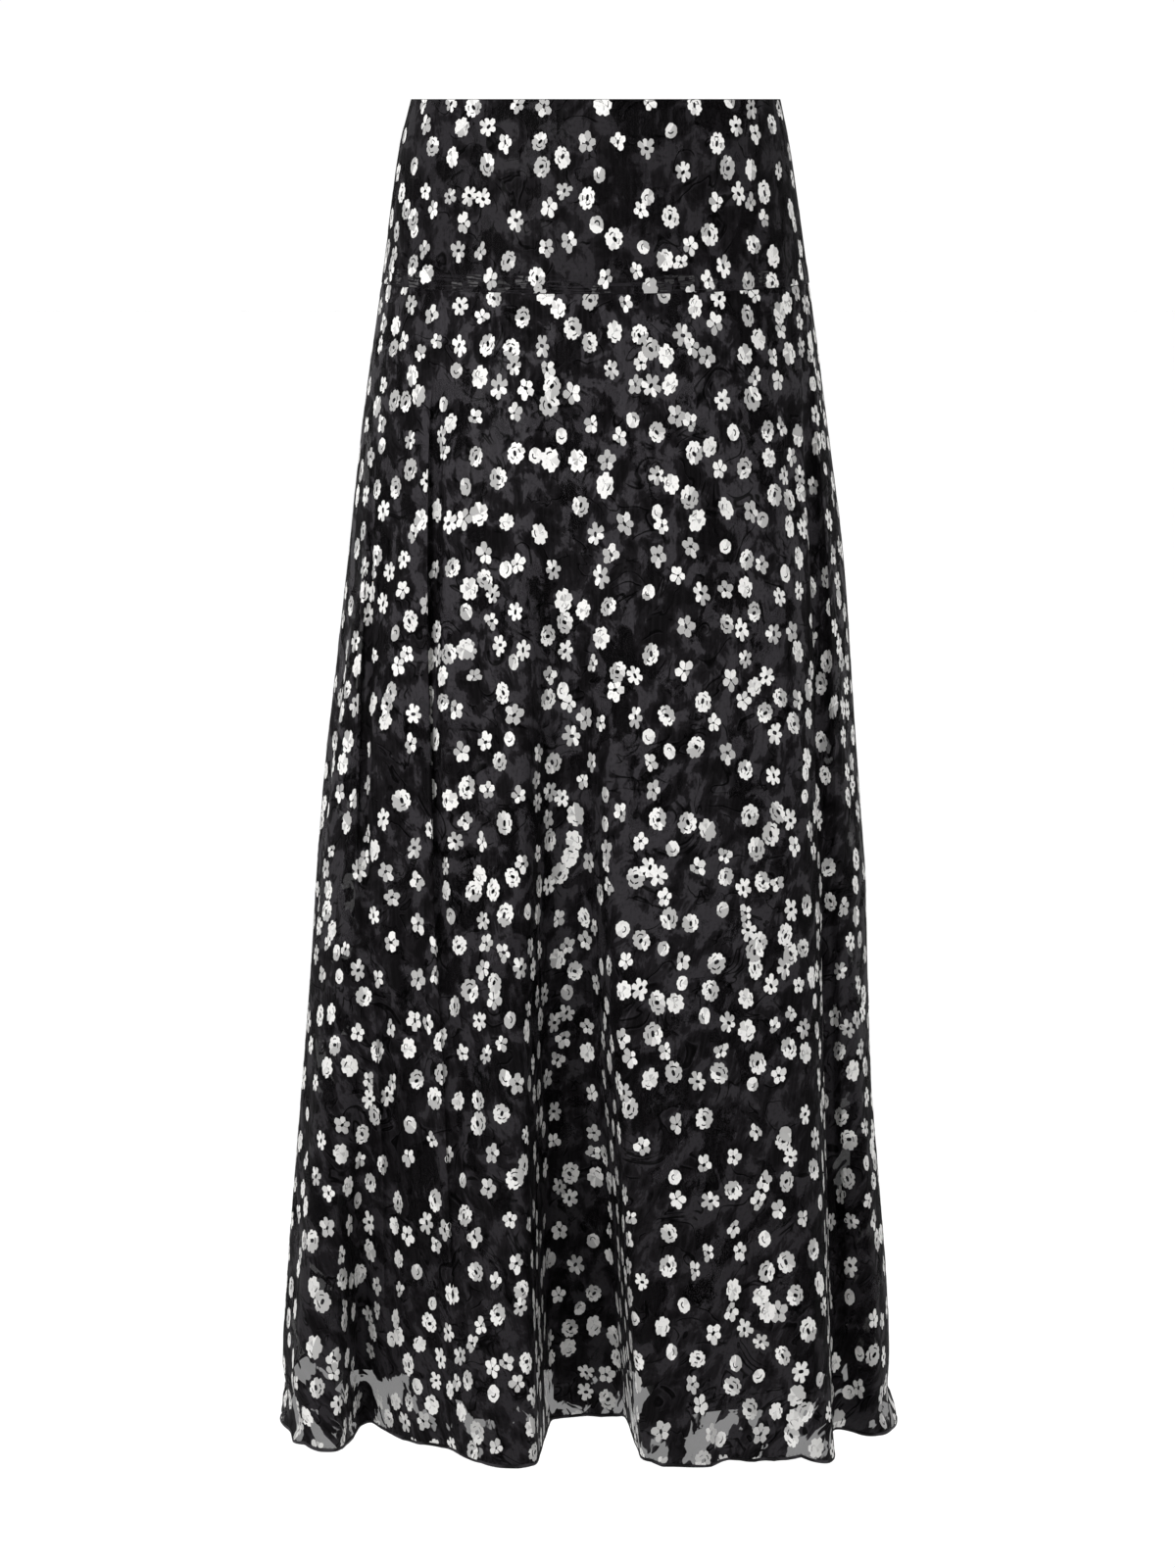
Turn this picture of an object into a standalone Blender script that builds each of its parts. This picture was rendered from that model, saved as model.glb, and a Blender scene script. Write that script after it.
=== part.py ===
"""A lined midi skirt with a fitted yoke, standing open and filled out as if worn, with nobody in it.

The cloth hangs from the waist. Each ring round the skirt is a squared ellipse that the folds push in and
out, and each panel is an open sheet through those rings, thickened inwards. The origin is the centre of the
waist opening, +Z is up and the front of the skirt faces -Y. Angles round the skirt start at the middle of
the front and grow towards +X. Metres throughout.
"""

import math
from collections import namedtuple

import bmesh
import bpy
import numpy as np

# Driving sizes
LENGTH = 0.92
YOKE_DROP = 0.125
YOKE_DIP = 0.0035
LINING_DROP = 0.89
CLOTH_WALL = 0.0012
LINING_WALL = 0.001
SEAM_GAP = 0.0003
LINING_GAP = 0.001

# Side seams, as angles from the middle of the front
RIGHT_SEAM = 78.0
LEFT_SEAM = -100.0

# How the lining parts from the cloth over it on the way down to the hem
LINING_TOP = 0.001
LINING_SEAM_GAP = 0.0006
LINING_PARTS_FROM = 0.07
LINING_PARTS_BY = 1.5
LINING_INSET = 0.018
LINING_SIDE_INSET = 0.024
LINING_WIDER = 0.011
LINING_SOFTER = 1.5
LINING_RIDGE_SHARE = 0.5
LINING_ROUNDING = 0.003
LINING_REACH = 0.08

# The concealed zip in the right-hand seam
ZIP_GAP = 0.0011
ZIP_DROP = 0.205
ZIP_TOP_MARGIN = 0.003
TAPE_HALF_WIDTH = 0.008
TAPE_WALL = 0.0008
COIL_HALF_WIDTH = 0.0017
COIL_RISE = 0.0011
ZIP_CLOSE_LENGTH = 0.045
SLIDER_WIDTH = 0.0062
SLIDER_LENGTH = 0.010
SLIDER_DEPTH = 0.0018
SLIDER_TOP = 0.006
SLIDER_BEVEL = 0.0006

# Mesh density
RING_SAMPLES = 2400
CORNER_RADIUS = 0.02
SEAM_STEP = 0.002
CLOTH_COLUMNS = 68
YOKE_COLUMNS = 34
LINING_COLUMNS = 44
CLOTH_ROWS = 12
YOKE_ROWS = 3
LINING_ROWS = 10
ZIP_ROWS = 12

# How a fold begins: its width as a share of that at the hem, and the run of its sides
FOLD_TOP_WIDTH = 0.45
FOLD_TOP_RUN = 0.030
# The cloth's corners are softened over this reach, and the mesh's columns keep to folds this deep
ROUNDING = 0.005
TRACKED_DEPTH = 0.042

# The smooth form under the folds, top to bottom
Section = namedtuple("Section", "height half_width front_depth back_depth squareness shift")
SECTIONS = (
    Section(0.000, 0.1272, 0.094, 0.099, 2.10, 0.0000),
    Section(-0.028, 0.1340, 0.099, 0.105, 2.10, -0.0008),
    Section(-0.066, 0.1399, 0.104, 0.112, 2.10, -0.0010),
    Section(-0.128, 0.1482, 0.111, 0.123, 2.15, -0.0008),
    Section(-0.210, 0.1597, 0.124, 0.138, 2.25, -0.0014),
    Section(-0.330, 0.1736, 0.141, 0.151, 2.45, -0.0006),
    Section(-0.460, 0.1848, 0.155, 0.161, 2.70, -0.0034),
    Section(-0.600, 0.1938, 0.167, 0.170, 2.90, -0.0060),
    Section(-0.760, 0.2047, 0.178, 0.179, 3.10, -0.0066),
    Section(-0.920, 0.2165, 0.186, 0.186, 3.20, -0.0060),
)

# Each fold starts at a height and reaches its full size at the hem. A depth above zero is a trough and one
# below zero a ridge. Its two sides each take a run along the cloth, the one before it on the side of the
# smaller angles, and aim is the way it is pushed, as an angle round the skirt.
Fold = namedtuple(
    "Fold", "name start angle_top angle_hem depth_mid depth_hem width run_before run_after aim"
)
FOLDS = (
    Fold("centre valley", -0.20, -9.5, 0.3, 0.046, 0.118, 0.061, 0.012, 0.014, 0),
    Fold("left of valley", -0.28, -31.0, -21.0, 0.012, 0.000, 0.030, 0.030, 0.030, -10),
    Fold("left ridge", -0.50, -16.0, -15.0, -0.002, -0.003, 0.030, 0.030, 0.030, 0),
    Fold("left shoulder", -0.24, -43.0, -33.0, 0.016, 0.040, 0.050, 0.030, 0.046, -8),
    Fold("left notch", -0.38, -50.0, -43.0, 0.018, 0.082, 0.030, 0.010, 0.044, -3),
    Fold("left lobe", -0.42, -58.0, -54.0, -0.004, -0.010, 0.038, 0.030, 0.026, -45),
    Fold("far left", -0.28, -71.0, -79.0, 0.008, 0.006, 0.036, 0.034, 0.034, -70),
    Fold("right side", -0.16, 60.0, 52.5, 0.020, 0.052, 0.034, 0.014, 0.050, 4),
    Fold("right ridge", -0.46, 43.0, 42.0, -0.006, -0.018, 0.040, 0.036, 0.030, 25),
    Fold("right hem step", -0.78, 27.0, 27.5, 0.004, 0.012, 0.012, 0.012, 0.014, 0),
    Fold("right hem dip", -0.72, 36.0, 35.5, 0.003, 0.010, 0.020, 0.018, 0.018, 10),
    Fold("right flank", -0.38, 94.0, 97.0, 0.010, 0.028, 0.036, 0.034, 0.040, 90),
    Fold("back right shoulder", -0.26, 124.0, 125.0, 0.017, 0.046, 0.042, 0.038, 0.028, 150),
    Fold("back right valley", -0.20, 156.0, 152.0, 0.036, 0.090, 0.050, 0.026, 0.032, 172),
    Fold("back centre ridge", -0.44, 178.0, 175.0, -0.004, -0.012, 0.044, 0.036, 0.036, 180),
    Fold("back left valley", -0.22, -166.0, -161.0, 0.033, 0.084, 0.044, 0.030, 0.024, 184),
    Fold("back left dip", -0.36, -146.0, -141.0, 0.012, 0.028, 0.030, 0.028, 0.032, 200),
    Fold("back left step", -0.28, -127.0, -123.0, 0.015, 0.042, 0.030, 0.026, 0.034, 215),
)


def smooth_step(share):
    share = np.clip(share, 0.0, 1.0)
    return share * share * (3.0 - 2.0 * share)


def section_at(height):
    """The smooth form at a height, by a cubic through the sections, each slope the mean of its neighbours'."""
    heights = np.array([row.height for row in SECTIONS])[::-1]
    table = np.array([row[1:] for row in SECTIONS])[::-1]
    slopes = np.gradient(table, heights, axis=0)
    low = int(np.clip(np.searchsorted(heights, height) - 1, 0, len(heights) - 2))
    span = heights[low + 1] - heights[low]
    t = (height - heights[low]) / span
    start, end = table[low], table[low + 1]
    start_slope, end_slope = slopes[low] * span, slopes[low + 1] * span
    return (
        start * (1 + 2 * t) * (1 - t) ** 2
        + start_slope * t * (1 - t) ** 2
        + end * t * t * (3 - 2 * t)
        + end_slope * t * t * (t - 1)
    )


def base_ring(height, lining):
    """The ring without folds, as angles in degrees and points, from the middle of the back right round."""
    half_width, front_depth, back_depth, squareness, shift = section_at(height)
    angles = np.linspace(-180.0, 180.0, RING_SAMPLES + 1)
    sine, cosine = np.sin(np.radians(angles)), np.cos(np.radians(angles))
    half_width = half_width - lining * LINING_SIDE_INSET
    depth = np.where(cosine >= 0.0, front_depth, back_depth) - lining * LINING_INSET
    reach = np.abs(sine / half_width) ** squareness + np.abs(cosine / depth) ** squareness
    radius = reach ** (-1.0 / squareness)
    return angles, np.stack([shift + radius * sine, -radius * cosine], axis=1)


def distance_along(points):
    steps = np.hypot(*np.diff(points, axis=0).T)
    return np.concatenate([[0.0], np.cumsum(steps)])


def growth(fold, height):
    """How far a fold has grown at a height, from 0 where it starts to 1 at the hem."""
    return float(np.clip((fold.start - height) / (fold.start + LENGTH), 0.0, 1.0))


def fold_place(fold, grown, height, angles, points, place, lining):
    """How far along a ring the middle of a fold lies. The lining's lies straight behind the cloth's."""
    angle = (fold.angle_top + (fold.angle_hem - fold.angle_top) * grown) % 360.0
    if lining == 0.0:
        return np.interp(angle, angles % 360.0, place, period=360.0)
    _, cloth = base_ring(height, 0.0)
    middle = [np.interp(angle, angles % 360.0, cloth[:, axis], period=360.0) for axis in (0, 1)]
    aim = math.radians(fold.aim)
    off_line = np.abs((points - middle) @ np.array([math.cos(aim), math.sin(aim)]))
    off_line[np.hypot(*(points - middle).T) > LINING_REACH] = np.inf
    return place[np.argmin(off_line)]


def fold_half_width(fold, grown, lining):
    return 0.5 * fold.width * (FOLD_TOP_WIDTH + (1.0 - FOLD_TOP_WIDTH) * grown) + lining * LINING_WIDER


def fold_push(fold, height, angles, points, place, lining):
    """How far a fold moves each point of a ring, inwards above zero."""
    grown = growth(fold, height)
    if grown == 0.0:
        return np.zeros_like(place)
    # A parabola through nothing at the start, the middle depth half way and the hem's depth at the hem.
    bow = 2.0 * fold.depth_hem - 4.0 * fold.depth_mid
    depth = grown * (4.0 * fold.depth_mid - fold.depth_hem + bow * grown)
    if depth < 0.0:
        depth *= 1.0 - lining * (1.0 - LINING_RIDGE_SHARE)
    half_width = fold_half_width(fold, grown, lining)
    runs = [FOLD_TOP_RUN + (run - FOLD_TOP_RUN) * grown for run in (fold.run_before, fold.run_after)]
    before, after = [run * (1.0 + lining * (LINING_SOFTER - 1.0)) for run in runs]
    past = place - fold_place(fold, grown, height, angles, points, place, lining)
    past = (past + 0.5 * place[-1]) % place[-1] - 0.5 * place[-1]
    rising = smooth_step((past + half_width) / before + 0.5)
    falling = smooth_step((half_width - past) / after + 0.5)
    return depth * rising * falling


def fold_edges(height, span, lining):
    """The angles within a span where the deep folds' sides are half way in, in order round the skirt."""
    angles, points = base_ring(height, lining)
    place = distance_along(points)
    found = []
    for fold in FOLDS:
        if fold.depth_hem < TRACKED_DEPTH:
            continue
        grown = growth(fold, height)
        middle = fold_place(fold, grown, height, angles, points, place, lining)
        half_width = fold_half_width(fold, grown, lining)
        for edge in (middle - half_width, middle + half_width):
            angle = float(np.interp(edge % place[-1], place, angles))
            found.append(angle + 360.0 if angle < span[0] else angle)
    return sorted(angle for angle in found if span[0] < angle < span[1])


def rounded(points, reach):
    """A closed ring with its corners softened over a reach, sampled evenly."""
    place = distance_along(points)
    even = np.linspace(0.0, place[-1], RING_SAMPLES + 1)[:-1]
    offset = np.minimum(even, place[-1] - even)
    weight = np.exp(-0.5 * (offset / reach) ** 2)
    spectrum = np.fft.rfft(weight / weight.sum())
    softened = []
    for axis in (0, 1):
        evenly = np.interp(even, place, points[:, axis])
        soft = np.fft.irfft(np.fft.rfft(evenly) * spectrum, RING_SAMPLES)
        softened.append(np.interp(place, np.append(even, place[-1]), np.append(soft, soft[0])))
    return np.stack(softened, axis=1)


def ring(height, lining=0.0):
    """The folded ring of the cloth at a height, or of the lining where that share is above zero."""
    angles, points = base_ring(height, lining)
    place = distance_along(points)
    folded = points.copy()
    for fold in FOLDS:
        aim = math.radians(fold.aim)
        inwards = np.array([-math.sin(aim), math.cos(aim)])
        folded += fold_push(fold, height, angles, points, place, lining)[:, None] * inwards
    return angles, rounded(folded, ROUNDING + lining * LINING_ROUNDING)


def moved_in(points, depth):
    along = np.gradient(points, axis=0)
    along /= np.hypot(*along.T)[:, None]
    return points + depth * np.stack([-along[:, 1], along[:, 0]], axis=1)


def lining_share(height):
    """How far the lining has parted from the cloth at a height: not at all down to the yoke's lower part."""
    below = (-height - LINING_PARTS_FROM) / (LENGTH - LINING_PARTS_FROM)
    return float(smooth_step(below * LINING_PARTS_BY))


def lining_ring(height):
    """The lining's ring: against the yoke above, then inside the cloth with wider and softer folds."""
    angles, points = ring(height, lining_share(height))
    return angles, moved_in(points, CLOTH_WALL + LINING_GAP)


def unrolled(angles, points, from_angle, to_angle):
    """The stretch of a ring between two angles, which may run past the middle of the back."""
    turns = np.concatenate([angles[:-1], angles + 360.0])
    twice = np.concatenate([points[:-1], points])
    kept = (turns > from_angle) & (turns < to_angle)
    first, last = [
        [np.interp(angle, turns, twice[:, axis]) for axis in (0, 1)] for angle in (from_angle, to_angle)
    ]
    return np.concatenate([[first], twice[kept], [last]])


def weights_along(stretch):
    """Distance along a stretch, and a measure that runs faster in its bends, so even steps are shorter there."""
    place = distance_along(stretch)
    heading = np.unwrap(np.arctan2(*np.gradient(stretch, axis=0).T[::-1]))
    bend = np.concatenate([[0.0], np.cumsum(np.abs(np.diff(heading)))])
    return place, place + CORNER_RADIUS * bend


def stretches(height, span, lining):
    """The parts of a ring's span between its deep folds' edges, each with its measure."""
    angles, points = lining_ring(height) if lining else ring(height)
    bounds = [span[0], *fold_edges(height, span, lining_share(height) if lining else 0.0), span[1]]
    return [unrolled(angles, points, *pair) for pair in zip(bounds, bounds[1:])]


def column_counts(span, lining, count):
    """How many columns each part of a span gets, by its measure near the hem."""
    lowest = -LINING_DROP if lining else -LENGTH
    shares = [weights_along(part)[1][-1] for part in stretches(lowest, span, lining)]
    return [max(2, round(count * share / sum(shares))) for share in shares]


def row_at(height, span, lining, counts, margins):
    """One row of a panel's points. Its columns keep to the same fold edges at every height."""
    parts = stretches(height, span, lining)
    at = [0.0]
    for part, count in zip(parts, counts):
        place, weight = weights_along(part)
        at.extend(at[-1] + np.interp(np.linspace(0.0, weight[-1], count + 1)[1:], weight, place))
    # A short step at each end squares the seam, and the columns between close up to leave the margins.
    start, end = margins[0], at[-1] - margins[1]
    between = np.interp(at[1:-1], [0.0, at[-1]], [start + SEAM_STEP, end - SEAM_STEP])
    at = np.concatenate([[start, start + SEAM_STEP], between, [end - SEAM_STEP, end]])
    whole = np.concatenate(parts)
    place = distance_along(whole)
    return np.stack([np.interp(at, place, whole[:, axis]) for axis in (0, 1)], axis=1)


def seam_drop(points):
    """How far below the waist the yoke seam lies at points of its ring: a little lower front and back."""
    return YOKE_DROP + YOKE_DIP * (points[:, 1] / np.abs(points[:, 1]).max()) ** 2


def sheet(name, rows, wall, look, collection):
    """A thin wall through rows of points, bottom row first, with its thickness added on the inside."""
    rows = np.asarray(rows)
    mesh = bpy.data.meshes.new(name)
    grid = bmesh.new()
    up, along = rows.shape[0] - 1, rows.shape[1] - 1
    bmesh.ops.create_grid(grid, x_segments=along, y_segments=up, size=1.0)
    for vertex in grid.verts:
        column = round((vertex.co.x + 1.0) / 2.0 * along)
        row = round((vertex.co.y + 1.0) / 2.0 * up)
        vertex.co = rows[row, column]
    grid.to_mesh(mesh)
    grid.free()
    mesh.materials.append(look)
    mesh.shade_smooth()
    piece = bpy.data.objects.new(name, mesh)
    collection.objects.link(piece)
    thicken = piece.modifiers.new("Wall", "SOLIDIFY")
    thicken.thickness = wall
    thicken.offset = -1.0
    return piece


def skirt_panel(name, span, look, collection):
    """A flared panel from the yoke seam to the hem. Its top row follows the dipped seam."""
    counts = column_counts(span, False, CLOTH_COLUMNS)
    margins = (SEAM_GAP / 2, SEAM_GAP / 2)
    rows = []
    for share in np.linspace(0.0, 1.0, CLOTH_ROWS + 1):
        height = -LENGTH + share * (LENGTH - YOKE_DROP)
        flat = row_at(height, span, False, counts, margins)
        drop = -height + share * (seam_drop(flat) - YOKE_DROP + SEAM_GAP / 2)
        rows.append(np.column_stack([flat, -drop]))
    return sheet(name, rows, CLOTH_WALL, look, collection)


def yoke_panel(name, span, look, collection):
    """A fitted panel from the waist edge to the yoke seam."""
    counts = column_counts(span, False, YOKE_COLUMNS)
    margins = (SEAM_GAP / 2, SEAM_GAP / 2)
    rows = []
    for share in np.linspace(0.0, 1.0, YOKE_ROWS + 1):
        height = -YOKE_DROP * (1.0 - share)
        flat = row_at(height, span, False, counts, margins)
        drop = -height + (1.0 - share) * (seam_drop(flat) - YOKE_DROP - SEAM_GAP / 2)
        rows.append(np.column_stack([flat, -drop]))
    return sheet(name, rows, CLOTH_WALL, look, collection)


def lining_panel(name, span, zip_end, look, collection):
    """A plain panel from the waist to above the hem. Its edge stands back from the zip at one end."""
    counts = column_counts(span, True, LINING_COLUMNS)
    beside_yoke = np.linspace(-LINING_TOP, -YOKE_DROP, YOKE_ROWS + 1)
    below_yoke = np.linspace(-YOKE_DROP, -LINING_DROP, LINING_ROWS + 1)
    rows = []
    for height in np.concatenate([beside_yoke, below_yoke[1:]])[::-1]:
        beside_zip = 1.0 - smooth_step((-height - ZIP_DROP) / ZIP_CLOSE_LENGTH)
        margins = [LINING_SEAM_GAP / 2, LINING_SEAM_GAP / 2]
        margins[zip_end] += (TAPE_HALF_WIDTH + LINING_GAP) * beside_zip
        flat = row_at(height, span, True, counts, margins)
        rows.append(np.column_stack([flat, np.full(len(flat), height)]))
    return sheet(name, rows, LINING_WALL, look, collection)


def beside_seam(height, depth, sides):
    """Points some way in from the cloth's outer face at a height, at distances to each side of the zip."""
    angles, points = ring(height)
    inner = moved_in(points, depth)
    place = distance_along(inner)
    seam = np.interp(RIGHT_SEAM, angles, place)
    return np.array([[np.interp(seam + side, place, inner[:, axis]) for axis in (0, 1)] for side in sides])


def zip_strip(name, look, collection):
    """Both tapes and the closed coil between them, as one strip that lies inside the seam."""
    foot = COIL_HALF_WIDTH + COIL_RISE
    half_profile = [(TAPE_HALF_WIDTH, 0.0), (foot, 0.0), (COIL_HALF_WIDTH, COIL_RISE)]
    profile = [(-side, rise) for side, rise in half_profile] + half_profile[::-1]
    rows = []
    for height in np.linspace(-ZIP_DROP, -ZIP_TOP_MARGIN, ZIP_ROWS + 1):
        depth = CLOTH_WALL + ZIP_GAP
        flat = np.concatenate([beside_seam(height, depth + rise, [side]) for side, rise in profile])
        rows.append(np.column_stack([flat, np.full(len(flat), height)]))
    return sheet(name, rows, TAPE_WALL, look, collection)


def zip_slider(name, look, collection):
    """The slider's body at the top of the coil, on the inside."""
    depth = CLOTH_WALL + ZIP_GAP + COIL_RISE + TAPE_WALL + SEAM_GAP + SLIDER_DEPTH / 2
    height = -SLIDER_TOP - SLIDER_LENGTH / 2
    before, here, after = beside_seam(height, depth, (-SLIDER_WIDTH / 2, 0.0, SLIDER_WIDTH / 2))
    above, below = [beside_seam(height + way * SLIDER_LENGTH / 2, depth, [0.0])[0] for way in (1, -1)]
    bpy.ops.mesh.primitive_cube_add(size=1.0, location=(*here, height))
    slider = bpy.context.object
    slider.name = slider.data.name = name
    slider.scale = (SLIDER_WIDTH, SLIDER_DEPTH, SLIDER_LENGTH)
    bpy.ops.object.transform_apply(location=False, rotation=False, scale=True)
    # The wall slopes outwards below the waist, and the slider leans with it.
    lean = math.atan2(math.hypot(*(below - above)), SLIDER_LENGTH)
    turn = math.atan2(*(after - before)[::-1])
    slider.rotation_euler = (-lean, 0.0, turn)
    bevel = slider.modifiers.new("Edges", "BEVEL")
    bevel.width = SLIDER_BEVEL
    bevel.segments = 1
    slider.data.materials.append(look)
    for owner in list(slider.users_collection):
        owner.objects.unlink(slider)
    collection.objects.link(slider)
    return slider


def material(name, colour, roughness, metallic=0.0):
    look = bpy.data.materials.new(name)
    look.use_nodes = True
    shader = look.node_tree.nodes["Principled BSDF"]
    shader.inputs["Base Color"].default_value = (*colour, 1.0)
    shader.inputs["Roughness"].default_value = roughness
    shader.inputs["Metallic"].default_value = metallic
    return look


def clear_scene():
    for thing in list(bpy.data.objects):
        bpy.data.objects.remove(thing, do_unlink=True)


def main():
    clear_scene()
    skirt = bpy.data.collections.new("midi_skirt")
    bpy.context.scene.collection.children.link(skirt)
    floral = material("black floral cloth", (0.012, 0.011, 0.013), 0.55)
    plain = material("black lining", (0.006, 0.006, 0.007), 0.6)
    tape = material("black zip tape", (0.008, 0.008, 0.009), 0.8)
    metal = material("black lacquered zip slider", (0.02, 0.02, 0.022), 0.4, 0.6)

    front = (LEFT_SEAM, RIGHT_SEAM)
    back = (RIGHT_SEAM, LEFT_SEAM + 360.0)
    yoke_panel("yoke_front", front, floral, skirt)
    yoke_panel("yoke_back", back, floral, skirt)
    skirt_panel("skirt_front", front, floral, skirt)
    skirt_panel("skirt_back", back, floral, skirt)
    lining_panel("lining_front", front, 1, plain, skirt)
    lining_panel("lining_back", back, 0, plain, skirt)
    zip_strip("zip_strip", tape, skirt)
    zip_slider("zip_slider", metal, skirt)


if __name__ == "__main__":
    main()
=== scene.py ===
"""The looks of a midi skirt with a yoke, in black cloth with satin and sheer patches and cream flowers.

The cloth is a set of thin sheets on the form of the frame's solids. Each ring round the skirt is a squared
ellipse that the folds push in and out, as in the frame, and the sheets add its creases, puckers, edges and
seams. The flowers are thin patches that follow the cloth. The origin is the centre of the waist opening, +Z
is up and the front faces -Y. Angles round the skirt start at the middle of the front and grow towards +X.
Metres throughout.
"""

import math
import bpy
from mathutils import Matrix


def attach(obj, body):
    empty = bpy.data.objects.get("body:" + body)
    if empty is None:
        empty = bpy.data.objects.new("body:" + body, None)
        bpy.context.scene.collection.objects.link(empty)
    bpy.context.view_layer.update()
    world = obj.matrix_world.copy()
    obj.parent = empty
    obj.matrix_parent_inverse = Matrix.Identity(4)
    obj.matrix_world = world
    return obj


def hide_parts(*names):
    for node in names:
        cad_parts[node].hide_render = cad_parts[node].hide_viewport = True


bl_info = {
    "name": "Floral midi skirt",
    "version": (1, 0, 0),
    "blender": (4, 5, 0),
    "location": "View3D > Sidebar > Skirt",
    "description": "Makes the cloth, flowers, lining, hems and zip of a midi skirt round its frame",
    "category": "Add Mesh",
}

from collections import namedtuple

import bpy
import numpy as np
from mathutils import Vector

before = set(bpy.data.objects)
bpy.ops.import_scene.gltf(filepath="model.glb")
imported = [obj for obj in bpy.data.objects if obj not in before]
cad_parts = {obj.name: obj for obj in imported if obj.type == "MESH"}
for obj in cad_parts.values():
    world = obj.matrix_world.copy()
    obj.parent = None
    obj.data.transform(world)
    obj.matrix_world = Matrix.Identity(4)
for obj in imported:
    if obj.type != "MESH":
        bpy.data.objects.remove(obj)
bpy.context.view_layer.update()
BODY = "root"

# The frame's own sizes, repeated here because the looks follow its form
LENGTH = 0.92
YOKE_DROP = 0.125
YOKE_DIP = 0.0035
LINING_DROP = 0.89
CLOTH_WALL = 0.0012
LINING_GAP = 0.001
RIGHT_SEAM = 78.0
LEFT_SEAM = -100.0
LINING_PARTS_FROM = 0.07
LINING_PARTS_BY = 1.5
LINING_INSET = 0.018
LINING_SIDE_INSET = 0.024
LINING_WIDER = 0.011
LINING_SOFTER = 1.5
LINING_RIDGE_SHARE = 0.5
LINING_ROUNDING = 0.003
LINING_REACH = 0.08
FOLD_TOP_WIDTH = 0.45
FOLD_TOP_RUN = 0.030
ROUNDING = 0.005
RING_SAMPLES = 2400

# The smooth form under the folds, top to bottom
Section = namedtuple("Section", "height half_width front_depth back_depth squareness shift")
SECTIONS = (
    Section(0.000, 0.1272, 0.094, 0.099, 2.10, 0.0000),
    Section(-0.028, 0.1340, 0.099, 0.105, 2.10, -0.0008),
    Section(-0.066, 0.1399, 0.104, 0.112, 2.10, -0.0010),
    Section(-0.128, 0.1482, 0.111, 0.123, 2.15, -0.0008),
    Section(-0.210, 0.1597, 0.124, 0.138, 2.25, -0.0014),
    Section(-0.330, 0.1736, 0.141, 0.151, 2.45, -0.0006),
    Section(-0.460, 0.1848, 0.155, 0.161, 2.70, -0.0034),
    Section(-0.600, 0.1938, 0.167, 0.170, 2.90, -0.0060),
    Section(-0.760, 0.2047, 0.178, 0.179, 3.10, -0.0066),
    Section(-0.920, 0.2165, 0.186, 0.186, 3.20, -0.0060),
)

# Each fold starts at a height and reaches its full size at the hem. A depth above zero is a trough and one
# below zero a ridge. Its two sides each take a run along the cloth, the one before it on the side of the
# smaller angles, and aim is the way it is pushed, as an angle round the skirt.
Fold = namedtuple(
    "Fold", "name start angle_top angle_hem depth_mid depth_hem width run_before run_after aim"
)
FOLDS = (
    Fold("centre valley", -0.20, -9.5, 0.3, 0.046, 0.118, 0.061, 0.012, 0.014, 0),
    Fold("left of valley", -0.28, -31.0, -21.0, 0.012, 0.000, 0.030, 0.030, 0.030, -10),
    Fold("left ridge", -0.50, -16.0, -15.0, -0.002, -0.003, 0.030, 0.030, 0.030, 0),
    Fold("left shoulder", -0.24, -43.0, -33.0, 0.016, 0.040, 0.050, 0.030, 0.046, -8),
    Fold("left notch", -0.38, -50.0, -43.0, 0.018, 0.082, 0.030, 0.010, 0.044, -3),
    Fold("left lobe", -0.42, -58.0, -54.0, -0.004, -0.010, 0.038, 0.030, 0.026, -45),
    Fold("far left", -0.28, -71.0, -79.0, 0.008, 0.006, 0.036, 0.034, 0.034, -70),
    Fold("right side", -0.16, 60.0, 52.5, 0.020, 0.052, 0.034, 0.014, 0.050, 4),
    Fold("right ridge", -0.46, 43.0, 42.0, -0.006, -0.018, 0.040, 0.036, 0.030, 25),
    Fold("right hem step", -0.78, 27.0, 27.5, 0.004, 0.012, 0.012, 0.012, 0.014, 0),
    Fold("right hem dip", -0.72, 36.0, 35.5, 0.003, 0.010, 0.020, 0.018, 0.018, 10),
    Fold("right flank", -0.38, 94.0, 97.0, 0.010, 0.028, 0.036, 0.034, 0.040, 90),
    Fold("back right shoulder", -0.26, 124.0, 125.0, 0.017, 0.046, 0.042, 0.038, 0.028, 150),
    Fold("back right valley", -0.20, 156.0, 152.0, 0.036, 0.090, 0.050, 0.026, 0.032, 172),
    Fold("back centre ridge", -0.44, 178.0, 175.0, -0.004, -0.012, 0.044, 0.036, 0.036, 180),
    Fold("back left valley", -0.22, -166.0, -161.0, 0.033, 0.084, 0.044, 0.030, 0.024, 184),
    Fold("back left dip", -0.36, -146.0, -141.0, 0.012, 0.028, 0.030, 0.028, 0.032, 200),
    Fold("back left step", -0.28, -127.0, -123.0, 0.015, 0.042, 0.030, 0.026, 0.034, 215),
)

# How far the cloth's left and right sides stand out from the frame at each drop below the waist, in metres.
# That starts at one share of the skirt's half width and is complete at another.
Spread = namedtuple("Spread", "drop left right")
SPREADS = (
    Spread(0.00, 0.0000, 0.0000),
    Spread(0.15, 0.0000, 0.0012),
    Spread(0.30, 0.0006, 0.0024),
    Spread(0.40, 0.0016, 0.0018),
    Spread(0.46, 0.0030, 0.0032),
    Spread(0.53, 0.0036, 0.0058),
    Spread(0.60, 0.0036, 0.0042),
    Spread(0.69, 0.0046, 0.0012),
    Spread(0.77, 0.0052, 0.0024),
    Spread(0.86, 0.0062, 0.0030),
    Spread(0.88, 0.0056, 0.0026),
    Spread(0.90, 0.0008, 0.0004),
    Spread(0.91, 0.0004, 0.0000),
    Spread(0.92, 0.0046, 0.0050),
)
SPREAD_FROM = 0.80
SPREAD_WHOLE = 0.96

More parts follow.
